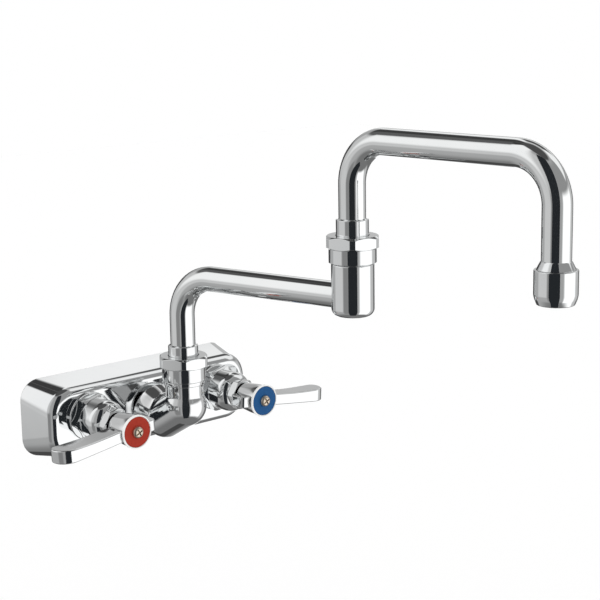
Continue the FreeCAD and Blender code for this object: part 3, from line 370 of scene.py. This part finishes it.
for valve, x in (("hot", -INLET_X), ("cold", INLET_X)):
    flange = turn([(NECK_BORE, 0), (FLANGE_R, 0), (FLANGE_R, FLANGE), (NECK_BORE, FLANGE)], [(2, 0.9, 4)])
    hexagon = turn([(NECK_BORE, 1.0)] + bar(15.5, 13.4, 1.8, HEXAGON_END) + [(NECK_BORE, HEXAGON_END)])
    mill_hexagon(hexagon, BONNET_FLATS, 8.0)
    soften(hexagon, sharp_edges(hexagon, 20), 0.25, 2)
    dome = turn([(6.1, 8.0), (DOME_R, 8.0), (DOME_R, BONNET_LENGTH), (6.1, BONNET_LENGTH)],
                [(2, DOME_ROUND, 14)])
    fit(face_out(join([flange, hexagon, dome]), x, COVER_DEPTH), valve + "_bonnet", turned_chrome,
        "chrome_plate", "wall_body", valve + "_bonnet_nut")


# ---- Packing nuts ----
# A small hexagon in front of each bonnet presses the packing round the stem. Turned and milled from
# brass bar and chrome plated.

GLAND_LENGTH = 6.2
GLAND_FLATS = 18.2
GLAND_BORE = 3.85
GLAND_SPIGOT_R = 5.6

for valve, x in (("hot", -INLET_X), ("cold", INLET_X)):
    gland = turn([(GLAND_BORE, 0)] + bar(10.4, 8.9, 0, GLAND_LENGTH) + [(GLAND_BORE, GLAND_LENGTH)])
    mill_hexagon(gland, GLAND_FLATS, 57.0)
    soften(gland, sharp_edges(gland, 20), 0.22, 2)
    spigot = turn([(GLAND_BORE, -1.9), (GLAND_SPIGOT_R, -1.9), (GLAND_SPIGOT_R, 0.5), (GLAND_BORE, 0.5)])
    fit(face_out(join([gland, spigot]), x, COVER_DEPTH + BONNET_LENGTH), valve + "_gland", turned_chrome,
        "chrome_plate", "wall_body", valve + "_packing_nut")


# ---- Lever handles ----
# Cast levers, polished and chrome plated: a blade that widens to a round tip, a short tail, a hub on
# the stem's square and a round boss under the index button.

cast_chrome = chrome("polished chrome plate on a casting", "#EAEAEA", "#E1E3E4", 17, 0.03, 0.05, 0.08)
LEVER_FACE = 78.2
LEVER_START = 62.0
REACH = 55.0
TAIL = 16.6
ROOT_WIDTH = 13.0
TIP_WIDTH = 16.0
ROOT_THICK = 7.4
TIP_SWELL = 1.1
SAG = 2.3
LEAN = 44.0 * math.tan(math.radians(5.4))
DROOP = math.radians(3.5)
BOSS_R = 10.0
BOSS_END = 17.4

for valve, x, side in (("hot", -INLET_X, -1), ("cold", INLET_X, 1)):
    blade = bmesh.new()
    outline = [blade.verts.new(point) for point in
               ((-TAIL, 0, 0), (0, 0, 0), (REACH, -LEAN, 0), (REACH, TIP_WIDTH - LEAN, 0),
                (0, ROOT_WIDTH, 0), (-TAIL, ROOT_WIDTH, 0))]
    blade.faces.new(outline)
    for corners, size, segments in (((outline[2],), 10.9, 16), ((outline[3],), 4.9, 9),
                                    ((outline[0], outline[5]), 3.2, 5)):
        bmesh.ops.bevel(blade, geom=corners, offset=size, offset_type="OFFSET", segments=segments,
                        profile=0.5, affect="VERTICES", material=-1)
    for u in range(4, 44, 4):
        bmesh.ops.bisect_plane(blade, geom=blade.verts[:] + blade.edges[:] + blade.faces[:], dist=0.0001,
                               plane_co=(u, 0, 0), plane_no=(1, 0, 0))
    grown = bmesh.ops.extrude_face_region(blade, geom=blade.faces[:], use_keep_orig=True)["geom"]
    top = {part for part in grown if isinstance(part, bmesh.types.BMVert)}
    for point in blade.verts:
        along = min(max(point.co.x, 0) / REACH, 1)
        swell = max(along - 0.45, 0) / 0.55
        half = (ROOT_THICK + TIP_SWELL * swell * swell * (3 - 2 * swell)) / 2
        point.co.z = (half if point in top else -half) - SAG * (1 - (1 - along) ** 2.2)
    bmesh.ops.recalc_face_normals(blade, faces=blade.faces)
    soften(blade, sharp_edges(blade, 40), 0.9, 4)
    bmesh.ops.transform(blade, verts=blade.verts, matrix=Matrix.Rotation(DROOP, 4, "Y"))
    bmesh.ops.transform(blade, verts=blade.verts,
                        matrix=Matrix.Translation((x, -LEVER_FACE, 0)) @ Matrix.Diagonal((side, 1, 1, 1)))
    hub = turn([(0, 0), (8.7, 0), (BOSS_R, 12.2), (BOSS_R, BOSS_END), (0, BOSS_END)],
               [(1, 0.8, 3), (3, 0.3, 2)])
    fit(join([blade, face_out(hub, x, LEVER_START)]), valve + "_lever_handle", cast_chrome,
        "chrome_plate", valve + "_handle", valve + "_lever")


# ---- Index buttons ----
# A moulded white plastic ring with a coloured disc pressed in its face, red for hot and blue for
# cold. The disc is bare.

white_abs, tree, place = new_material("moulded white ABS")
cast = add(tree, "ShaderNodeTexNoise", {"Vector": place, "Scale": 1 / 0.004, "Detail": 2.0})
tone = add(tree, "ShaderNodeValToRGB", {"Fac": cast.outputs["Fac"]})
tone.color_ramp.elements[0].color = linear("#F0F0EE")
tone.color_ramp.elements[1].color = linear("#FBFBFA")
sheen = add(tree, "ShaderNodeMapRange", {"Value": cast.outputs["Fac"], "To Min": 0.2, "To Max": 0.32})
skin = add(tree, "ShaderNodeBsdfPrincipled", {"Base Color": tone.outputs["Color"],
                                              "Roughness": sheen.outputs["Result"]})
add(tree, "ShaderNodeOutputMaterial", {"Surface": skin.outputs["BSDF"]})

BOSS_FRONT = 79.4
RING_R = 10.6
RING_LENGTH = 1.5
DISC_R = 9.5
DISC_THICK = 0.7
DISC_FLOOR = 0.55
SCREW_HOLE = 2.1
for valve, x, light, dark in (("hot", -INLET_X, "#B03624", "#962818"),
                              ("cold", INLET_X, "#1C5A93", "#144878")):
    ring = turn([(SCREW_HOLE, 0), (RING_R, 0), (RING_R, RING_LENGTH), (9.7, RING_LENGTH), (9.7, DISC_FLOOR),
                 (SCREW_HOLE, DISC_FLOOR)], [(2, 0.55, 4), (3, 0.15, 2)])
    fit(face_out(ring, x, BOSS_FRONT), valve + "_button_ring", white_abs, "white_plastic",
        valve + "_handle", valve + "_index_ring")
    ink, tree, place = new_material("coloured moulded ABS, " + valve)
    mottle = add(tree, "ShaderNodeTexNoise", {"Vector": place, "Scale": 1 / 0.0012, "Detail": 4.0})
    tone = add(tree, "ShaderNodeValToRGB", {"Fac": mottle.outputs["Fac"]})
    tone.color_ramp.elements[0].color = linear(dark)
    tone.color_ramp.elements[1].color = linear(light)
    grain = add(tree, "ShaderNodeBump", {"Height": mottle.outputs["Fac"], "Strength": 0.25,
                                         "Distance": 0.0002})
    skin = add(tree, "ShaderNodeBsdfPrincipled", {"Base Color": tone.outputs["Color"], "Roughness": 0.6,
                                                  "Specular IOR Level": 0.2,
                                                  "Normal": grain.outputs["Normal"]})
    add(tree, "ShaderNodeOutputMaterial", {"Surface": skin.outputs["BSDF"]})
    disc = turn([(SCREW_HOLE, 0), (DISC_R, 0), (DISC_R, DISC_THICK), (SCREW_HOLE, DISC_THICK)],
                [(2, 0.3, 3)])
    fit(face_out(disc, x, BOSS_FRONT + DISC_FLOOR), valve + "_button_disc", ink,
        "red_index" if valve == "hot" else "blue_index", valve + "_handle", valve + "_index_disc")


# ---- Handle screws ----
# A nickel-plated steel screw with a domed head and a cross recess holds each lever and its button on
# the stem. Nickel is a little warmer and duller than the chrome.

nickel, tree, place = new_material("nickel-plated steel")
wear = add(tree, "ShaderNodeTexNoise", {"Vector": place, "Scale": 1 / 0.0015, "Detail": 4.0})
tone = add(tree, "ShaderNodeValToRGB", {"Fac": wear.outputs["Fac"]})
tone.color_ramp.elements[0].color = linear("#B9AB99")
tone.color_ramp.elements[1].color = linear("#E6DACA")
dull = add(tree, "ShaderNodeMapRange", {"Value": wear.outputs["Fac"], "To Min": 0.24, "To Max": 0.4})
skin = add(tree, "ShaderNodeBsdfPrincipled", {"Base Color": tone.outputs["Color"], "Metallic": 1.0,
                                              "Roughness": dull.outputs["Result"]})
add(tree, "ShaderNodeOutputMaterial", {"Surface": skin.outputs["BSDF"]})


def carve(bm, tool):
    """Cuts a closed tool out of a closed form."""
    objects = []
    for form in (bm, tool):
        mesh = bpy.data.meshes.new("blank")
        form.to_mesh(mesh)
        form.free()
        objects.append(bpy.data.objects.new("blank", mesh))
        bpy.context.scene.collection.objects.link(objects[-1])
    cutter = objects[0].modifiers.new("cut", "BOOLEAN")
    cutter.operation = "DIFFERENCE"
    cutter.solver = "EXACT"
    cutter.object = objects[1]
    cut = objects[0].evaluated_get(bpy.context.evaluated_depsgraph_get())
    result = bmesh.new()
    result.from_mesh(cut.to_mesh())
    for blank in objects:
        mesh = blank.data
        bpy.data.objects.remove(blank)
        bpy.data.meshes.remove(mesh)
    return result


HEAD_SEAT = BOSS_FRONT + DISC_FLOOR + DISC_THICK
HEAD_R = 3.7
HEAD_HEIGHT = 2.4
SHANK_R = 2.0
SHANK_END = -14.75

for valve, x in (("hot", -INLET_X), ("cold", INLET_X)):
    head = turn([(0, 0), (HEAD_R, 0), (HEAD_R, HEAD_HEIGHT), (0, HEAD_HEIGHT)], [(2, 1.9, 8)])
    recess = bmesh.new()
    arm, half = 2.6, 0.5
    plus = [recess.verts.new((u, v, 3.0)) for u, v in
            ((arm, -half), (arm, half), (half, half), (half, arm), (-half, arm), (-half, half),
             (-arm, half), (-arm, -half), (-half, -half), (-half, -arm), (half, -arm), (half, -half))]
    grown = bmesh.ops.extrude_face_region(recess, geom=[recess.faces.new(plus)], use_keep_orig=True)["geom"]
    for point in [part for part in grown if isinstance(part, bmesh.types.BMVert)]:
        point.co = (point.co.x * 0.75, point.co.y * 0.75, 0.6)
    bmesh.ops.recalc_face_normals(recess, faces=recess.faces)
    head = carve(head, recess)
    shank = turn([(0, SHANK_END), (1.6, SHANK_END), (SHANK_R, -14.0), (SHANK_R, 0.4), (0, 0.4)])
    screw = join([head, shank])
    bmesh.ops.rotate(screw, verts=screw.verts, cent=(0, 0, 0),
                     matrix=Matrix.Rotation(math.radians(28), 3, "Z"))
    fit(face_out(screw, x, HEAD_SEAT), valve + "_screw", nickel, "screw_steel", valve + "_handle",
        valve + "_handle_screw")


# ---- Outlet elbow ----
# A brass casting that screws into the hub behind the cover: a bell against the cover, a slanting
# body and an upright neck with a bead that the lower swivel nut sits on. Polished and plated.

RISER_OUT = 62.2
LOWER_SEAT = 20.8
BELL_R = 17.0
ELBOW_R = 13.9
NECK_R = 12.2
bell = Vector((0, -28.7, -5.0))
low = Vector((0, -42.0, -7.8))
top = Vector((0, -RISER_OUT, 3.6))


def along(bm, start, end):
    """Stands a form turned about +Z on start, pointing at end."""
    turn_to = (end - start).to_track_quat("Z", "Y").to_matrix().to_4x4()
    bmesh.ops.transform(bm, matrix=Matrix.Translation(start) @ turn_to, verts=bm.verts)
    return bm


def melt(forms, name, voxel, passes):
    """Joins closed forms into one skin with soft inner corners, as a casting has."""
    bm = join(forms)
    mesh = bpy.data.meshes.new(name)
    bm.to_mesh(mesh)
    bm.free()
    blank = bpy.data.objects.new(name, mesh)
    bpy.context.scene.collection.objects.link(blank)
    skin = blank.modifiers.new("skin", "REMESH")
    skin.mode = "VOXEL"
    skin.voxel_size = voxel
    ease = blank.modifiers.new("ease", "SMOOTH")
    ease.factor = 0.5
    ease.iterations = passes
    eased = blank.evaluated_get(bpy.context.evaluated_depsgraph_get())
    result = bmesh.new()
    result.from_mesh(eased.to_mesh())
    bpy.data.objects.remove(blank)
    bpy.data.meshes.remove(mesh)
    return result


def ball(centre, radius):
    bm = bmesh.new()
    bmesh.ops.create_uvsphere(bm, u_segments=64, v_segments=40, radius=radius,
                              matrix=Matrix.Translation(centre))
    return bm


slope = (low - bell).length
flare = turn([(0, 0), (BELL_R, 0), (16.6, 2.0), (14.3, 11.0), (ELBOW_R, slope), (0, slope)],
             [(2, 2.0, 5), (3, 3.0, 5)])
body = turn([(0, 0), (ELBOW_R, 0), (ELBOW_R, (top - low).length), (0, (top - low).length)])
neck = turn([(0, 0), (NECK_R, 0), (NECK_R, 16.0), (0, 16.0)])
casting = melt([along(flare, bell, low), along(body, low, top), ball(low, ELBOW_R), ball(top, ELBOW_R),
                along(neck, top, top + Vector((0, 0, 1)))], "elbow_body", 0.42, 14)
bead = turn([(8.6, 13.0), (11.9, 13.0), (11.9, 14.0), (12.9, 14.2), (12.9, 16.9), (11.6, 17.2), (11.6, 27.0),
             (8.6, 27.0)], [(3, 0.5, 3), (4, 0.5, 3)])
shank = turn([(5.0, 0), (8.4, 0), (8.4, 14.0), (5.0, 14.0)])
fit(join([casting, along(bead, top, top + Vector((0, 0, 1))),
          face_out(shank, 0, 16.5, -5.0)]), "elbow", cast_chrome, "chrome_plate", "wall_body", "outlet_elbow")


# ---- Swivel nuts ----
# One nut at each swivel joint, turned with a round skirt below and a hexagon above, with a lip that
# holds the spigot down. Brass, polished and plated.

HEADING = math.radians(12.4)
lower_base = Vector((0, -RISER_OUT, 0))
LOWER_REACH = 129.6
out = Vector((math.sin(HEADING), -math.cos(HEADING), 0))
upper_base = lower_base + out * LOWER_REACH
UPPER_SEAT = 108.1
SKIRT_R = 13.9
SKIRT_HEIGHT = 8.3
NUT_HEIGHT = 15.7
NUT_FLATS = 30.0
NUT_BORE = 11.7

for name, base, seat, corner, body_name in (("lower", lower_base, LOWER_SEAT, 52.8, "wall_body"),
                                            ("upper", upper_base, UPPER_SEAT, 46.3, "lower_spout")):
    nut = turn([(NUT_BORE, 0), (SKIRT_R, 0), (SKIRT_R, SKIRT_HEIGHT)]
               + bar(16.45, 14.6, SKIRT_HEIGHT, NUT_HEIGHT)
               + [(9.85, NUT_HEIGHT), (9.85, 13.3), (NUT_BORE, 13.3)])
    mill_hexagon(nut, NUT_FLATS, corner)
    soften(nut, sharp_edges(nut, 20), 0.25, 2)
    fit(along(nut, base + Vector((0, 0, seat)), base + Vector((0, 0, seat + 1))), name + "_nut",
        turned_chrome, "chrome_plate", body_name, name + "_swivel_nut")


# ---- Ferrules ----
# The turned ends of the tubes: a smooth spigot with two seal rings inside the joint, and a sleeve
# that the tube is brazed into, with a small cone round its mouth.

WATERWAY_R = 4.8
SPIGOT_R = 8.5
GROOVE_R = 7.25
COLLAR_R = 11.1
SLEEVE_R = 9.5
TUBE_SEAT = 12.4

for name, base, seat, rise, body_name in (("lower", lower_base, LOWER_SEAT, 6.4, "lower_spout"),
                                          ("upper", upper_base, UPPER_SEAT, 9.2, "upper_spout")):
    mouth = NUT_HEIGHT + rise
    sleeve = turn([(WATERWAY_R, -5.0), (SPIGOT_R, -5.0), (SPIGOT_R, -2.2), (GROOVE_R, -2.2),
                   (GROOVE_R, 0.2), (SPIGOT_R, 0.2), (SPIGOT_R, 3.0), (GROOVE_R, 3.0), (GROOVE_R, 5.4),
                   (SPIGOT_R, 5.4), (SPIGOT_R, 10.1), (COLLAR_R, 10.1), (COLLAR_R, TUBE_SEAT),
                   (SLEEVE_R, TUBE_SEAT), (SLEEVE_R, mouth), (8.7, mouth), (7.95, mouth + 0.5),
                   (7.95, TUBE_SEAT), (WATERWAY_R, TUBE_SEAT)], [(14, 0.4, 3)])
    fit(along(sleeve, base + Vector((0, 0, seat)), base + Vector((0, 0, seat + 1))), name + "_sleeve",
        turned_chrome, "chrome_plate", body_name, name + "_ferrule")


# ---- Spout tubes ----
# Drawn brass tube, 15.9 mm across, bent cold on a 25.4 mm former, then polished along its length and
# chrome plated.

drawn_chrome = chrome("polished chrome plate on drawn tube", "#EBECEC", "#E4E6E6", 40, 0.02, 0.04, 0.06)
BEND = 25.4


def bend_tube(radius, start, heading, steps):
    """A tube from start: each step is a straight length, or a direction to bend round to."""
    bm = bmesh.new()
    across = Matrix.Translation(start) @ heading.to_track_quat("Z", "Y").to_matrix().to_4x4()
    bmesh.ops.create_circle(bm, cap_ends=True, cap_tris=False, segments=72, radius=radius, matrix=across)
    rim = [edge for edge in bm.edges if len(edge.link_faces) == 1]
    place = start.copy()
    for step in steps:
        if isinstance(step, Vector):
            centre = place + step * BEND
            bent = bmesh.ops.spin(bm, geom=rim + list({end for edge in rim for end in edge.verts}),
                                  cent=centre, axis=heading.cross(step), dvec=(0, 0, 0),
                                  angle=math.radians(90), steps=32, use_duplicate=False)["geom_last"]
            place = centre + heading * BEND
            heading = step
        else:
            bent = bmesh.ops.extrude_edge_only(bm, edges=rim)["geom"]
            bmesh.ops.translate(bm, vec=heading * step,
                                verts=[part for part in bent if isinstance(part, bmesh.types.BMVert)])
            place = place + heading * step
        rim = [part for part in bent if isinstance(part, bmesh.types.BMEdge)]
    bmesh.ops.edgeloop_fill(bm, edges=rim)
    return bm


TUBE_R = 7.935
LOWER_RISER = 29.0
LOWER_RUN = 95.25
UPPER_REACH = 142.7
UPPER_RISER = 32.6
UPPER_DROP = 32.2
up = Vector((0, 0, 1))
tube = bend_tube(TUBE_R, lower_base + up * (LOWER_SEAT + TUBE_SEAT), up, [LOWER_RISER, out, LOWER_RUN])
fit(tube, "lower_pipe", drawn_chrome, "chrome_plate", "lower_spout", "lower_tube")

UPPER_HEADING = math.radians(2.7)
reach = Vector((math.sin(UPPER_HEADING), -math.cos(UPPER_HEADING), 0))
tip_base = upper_base + reach * UPPER_REACH
tube = bend_tube(TUBE_R, upper_base + up * (UPPER_SEAT + TUBE_SEAT), up,
                 [UPPER_RISER, reach, UPPER_REACH - 2 * BEND, -up, UPPER_DROP])
fit(tube, "upper_pipe", drawn_chrome, "chrome_plate", "upper_spout", "upper_tube")


# ---- Knuckle ----
# The round barrel between the two tubes, turned from brass bar with a rounded foot. The lower tube
# is brazed into its side, and the upper joint sits on its neck.

BARREL_R = 12.55
BARREL_FOOT = 76.5
UPPER_NECK_TOP = 118.1
barrel = turn([(0, 80.5), (0, BARREL_FOOT), (BARREL_R, BARREL_FOOT), (BARREL_R, 107.5), (11.6, 107.8),
               (11.6, UPPER_NECK_TOP), (8.55, UPPER_NECK_TOP), (8.55, 80.5)], [(2, 4.6, 10), (3, 0.9, 4)])
fit(along(barrel, upper_base, upper_base + up), "knuckle_barrel", turned_chrome, "chrome_plate",
    "lower_spout", "knuckle")


# ---- Spout tip ----
# A turned cone brazed on the tube's end carries the aerator's shell, which screws on over a plastic
# mixer, a screen and a washer.

MOUTH_Z = 102.6
SHELL_TOP = 120.9
SHELL_R = 11.59
SHELL_BORE = 9.7
cone = turn([(7.94, SHELL_TOP), (10.4, SHELL_TOP), (8.35, 124.8), (7.94, 125.3)], [(1, 0.3, 2)])
thread = turn([(6.95, 115.9), (9.6, 115.9), (9.6, 121.0), (6.95, 121.0)])
fit(along(join([cone, thread]), tip_base, tip_base + up), "tip_cone", turned_chrome, "chrome_plate",
    "upper_spout", "tip_adapter")

shell = turn([(8.2, MOUTH_Z), (9.9, MOUTH_Z), (SHELL_R, 106.9), (SHELL_R, SHELL_TOP), (SHELL_BORE, SHELL_TOP),
              (SHELL_BORE, 104.1), (8.2, 104.1)], [(1, 0.5, 3), (2, 1.6, 5), (3, 0.5, 3)])
fit(along(shell, tip_base, tip_base + up), "tip_shell", turned_chrome, "chrome_plate", "upper_spout",
    "aerator_shell")

acetal, tree, place = new_material("moulded grey acetal")
flow = add(tree, "ShaderNodeTexNoise", {"Vector": place, "Scale": 1 / 0.002, "Detail": 2.0})
tone = add(tree, "ShaderNodeValToRGB", {"Fac": flow.outputs["Fac"]})
tone.color_ramp.elements[0].color = linear("#A9ABAD")
tone.color_ramp.elements[1].color = linear("#C0C2C4")
skin = add(tree, "ShaderNodeBsdfPrincipled", {"Base Color": tone.outputs["Color"], "Roughness": 0.4})
add(tree, "ShaderNodeOutputMaterial", {"Surface": skin.outputs["BSDF"]})
dress(acetal, "aerator_insert")


# ---- Floor and studio ----
# A plain pale floor under the faucet and a plain white room. Polished metal shows what stands round
# it, so glossy rays see soft boxes, grey walls and dark gaps instead of an even white.

floor_paint, tree, place = new_material("matt white floor paint")
roller = add(tree, "ShaderNodeTexNoise", {"Vector": place, "Scale": 1 / 0.02, "Detail": 2.0})
feel = add(tree, "ShaderNodeBump", {"Height": roller.outputs["Fac"], "Strength": 0.02, "Distance": 0.0005})
paint = add(tree, "ShaderNodeBsdfDiffuse", {"Color": (1.0, 1.0, 1.0, 1.0), "Normal": feel.outputs["Normal"]})
add(tree, "ShaderNodeOutputMaterial", {"Surface": paint.outputs["BSDF"]})
bm = bmesh.new()
bmesh.ops.create_grid(bm, x_segments=1, y_segments=1, size=4.0, matrix=Matrix.Translation((0, 0, -0.32)))
mesh = bpy.data.meshes.new("floor")
bm.to_mesh(mesh)
bm.free()
mesh.materials.append(floor_paint)
floor = bpy.data.objects.new("floor", mesh)
bpy.context.scene.collection.objects.link(floor)
floor.visible_glossy = False

world = bpy.data.worlds.new("studio")
bpy.context.scene.world = world
world.use_nodes = True
tree = world.node_tree
tree.nodes.clear()
looking = add(tree, "ShaderNodeTexCoord", {}).outputs["Generated"]
view = add(tree, "ShaderNodeSeparateXYZ", {"Vector": looking})
behind = add(tree, "ShaderNodeMath", {0: view.outputs["Y"], 1: -1.0}, operation="MULTIPLY")
round_front = add(tree, "ShaderNodeMath", {0: view.outputs["X"], 1: behind.outputs[0]}, operation="ARCTAN2")
round_back = add(tree, "ShaderNodeMath", {0: view.outputs["X"], 1: view.outputs["Y"]}, operation="ARCTAN2")
height = add(tree, "ShaderNodeMath", {0: view.outputs["Z"]}, operation="ARCSINE")


def between(angle, low, high, soft):
    """1 where an angle lies between two limits, in degrees, fading over soft degrees at each."""
    rise = add(tree, "ShaderNodeMapRange", {"Value": angle, "From Min": math.radians(low - soft),
                                            "From Max": math.radians(low + soft)},
               interpolation_type="SMOOTHSTEP")
    fall = add(tree, "ShaderNodeMapRange", {"Value": angle, "From Min": math.radians(high - soft),
                                            "From Max": math.radians(high + soft), "To Min": 1.0,
                                            "To Max": 0.0}, interpolation_type="SMOOTHSTEP")
    return add(tree, "ShaderNodeMath", {0: rise.outputs["Result"], 1: fall.outputs["Result"]},
               operation="MULTIPLY").outputs[0]


# Each row: brightness, angle counted from the front or the back of the room, left and right limit, lower
# and upper limit, and how softly it fades, all in degrees. A later row lies over the ones before it.
level = 0.42
front, back = round_front.outputs[0], round_back.outputs[0]
for bright, turn_angle, left, right, foot, head, soft in (
        (0.20, front, -200, 200, -120, -46, 10),
        (0.62, front, -200, -78, -6, 54, 8),
        (0.45, front, -200, -95, -34, -10, 6),
        (1.05, front, -148, -106, 2, 70, 9),
        (0.66, front, -150, -96, -17, -3, 5),
        (0.26, front, -96, -62, -40, 2, 6),
        (0.32, front, -30, 90, 12, 60, 6),
        (0.60, front, 55, 92, -45, 12, 6),
        (1.30, front, -8, 62, -48, 12, 6),
        (0.18, front, 92, 131, -70, 4, 4),
        (1.03, front, 55, 147, 22, 60, 3),
        (0.10, front, 96, 134, 30, 56, 4),
        (0.55, front, 112, 156, 5, 20, 3),
        (1.20, front, 130, 146, -35, 4, 2),
        (0.07, back, -4, 32, -70, 14, 3),
        (0.12, back, -30, 2, 34, 56, 4),
        (0.05, back, -34, 0, 53, 70, 3),
        (0.05, back, 0, 30, 36, 70, 4),
        (0.08, front, -200, 200, 67, 120, 3)):
    across = between(turn_angle, left, right, soft)
    upward = between(height.outputs[0], foot, head, soft)
    patch = add(tree, "ShaderNodeMath", {0: across, 1: upward}, operation="MULTIPLY")
    mixed = add(tree, "ShaderNodeMix", {0: patch.outputs[0], 2: level, 3: bright}, data_type="FLOAT")
    level = mixed.outputs[0]
room = add(tree, "ShaderNodeBackground", {"Color": (1.0, 1.0, 1.0, 1.0), "Strength": 1.0})
shown = add(tree, "ShaderNodeBackground", {"Color": (1.0, 1.0, 1.0, 1.0), "Strength": level})
rays = add(tree, "ShaderNodeLightPath", {})
both = add(tree, "ShaderNodeMixShader", {0: rays.outputs["Is Glossy Ray"], 1: room.outputs[0],
                                         2: shown.outputs[0]})
add(tree, "ShaderNodeOutputWorld", {"Surface": both.outputs[0]})


# ---- Dark card ----
# A tall black card stands beside the camera, as photographers use to give chrome a dark line down
# its middle. Only reflections see it.

black_card, tree, place = new_material("black card")
fibre = add(tree, "ShaderNodeTexNoise", {"Vector": place, "Scale": 1 / 0.02, "Detail": 2.0})
tone = add(tree, "ShaderNodeValToRGB", {"Fac": fibre.outputs["Fac"]})
tone.color_ramp.elements[0].color = linear("#25282B")
tone.color_ramp.elements[1].color = linear("#2B2E31")
glow = add(tree, "ShaderNodeEmission", {"Color": tone.outputs["Color"], "Strength": 1.0})
add(tree, "ShaderNodeOutputMaterial", {"Surface": glow.outputs["Emission"]})
card_place = Vector((-0.25, -0.48, 0.05))
facing = (Vector((0.03, -0.2, 0.05)) - card_place).to_track_quat("Z", "Y").to_matrix().to_4x4()
bm = bmesh.new()
bmesh.ops.create_grid(bm, x_segments=1, y_segments=1, size=0.5)
bmesh.ops.scale(bm, vec=(0.35, 1.8, 1.0), verts=bm.verts)
bmesh.ops.transform(bm, matrix=Matrix.Translation(card_place) @ facing, verts=bm.verts)
mesh = bpy.data.meshes.new("dark_card")
bm.to_mesh(mesh)
bm.free()
mesh.materials.append(black_card)
card = bpy.data.objects.new("dark_card", mesh)
bpy.context.scene.collection.objects.link(card)
card.visible_camera = False
card.visible_diffuse = False
card.visible_shadow = False


# ---- Camera ----
# A long lens from the front left, a little above the faucet, as in the photograph.

camera = bpy.data.cameras.new("camera")
camera.lens = 91.97
camera.sensor_width = 36.0
camera.clip_start = 0.01
stand = bpy.data.objects.new("camera", camera)
bpy.context.scene.collection.objects.link(stand)
around, above, roll = (math.radians(angle) for angle in (-41.6616, 11.5711, -0.8998))
backward = Vector((math.sin(around) * math.cos(above), -math.cos(around) * math.cos(above), math.sin(above)))
level_right = Vector((math.cos(around), math.sin(around), 0))
level_up = backward.cross(level_right)
right = math.cos(roll) * level_right + math.sin(roll) * level_up
upright = -math.sin(roll) * level_right + math.cos(roll) * level_up
stand.matrix_world = (Matrix.Translation((-0.57184, -0.81670, 0.26384))
                      @ Matrix((right, upright, backward)).transposed().to_4x4())
bpy.context.scene.camera = stand
bpy.context.scene.view_settings.view_transform = "Standard"
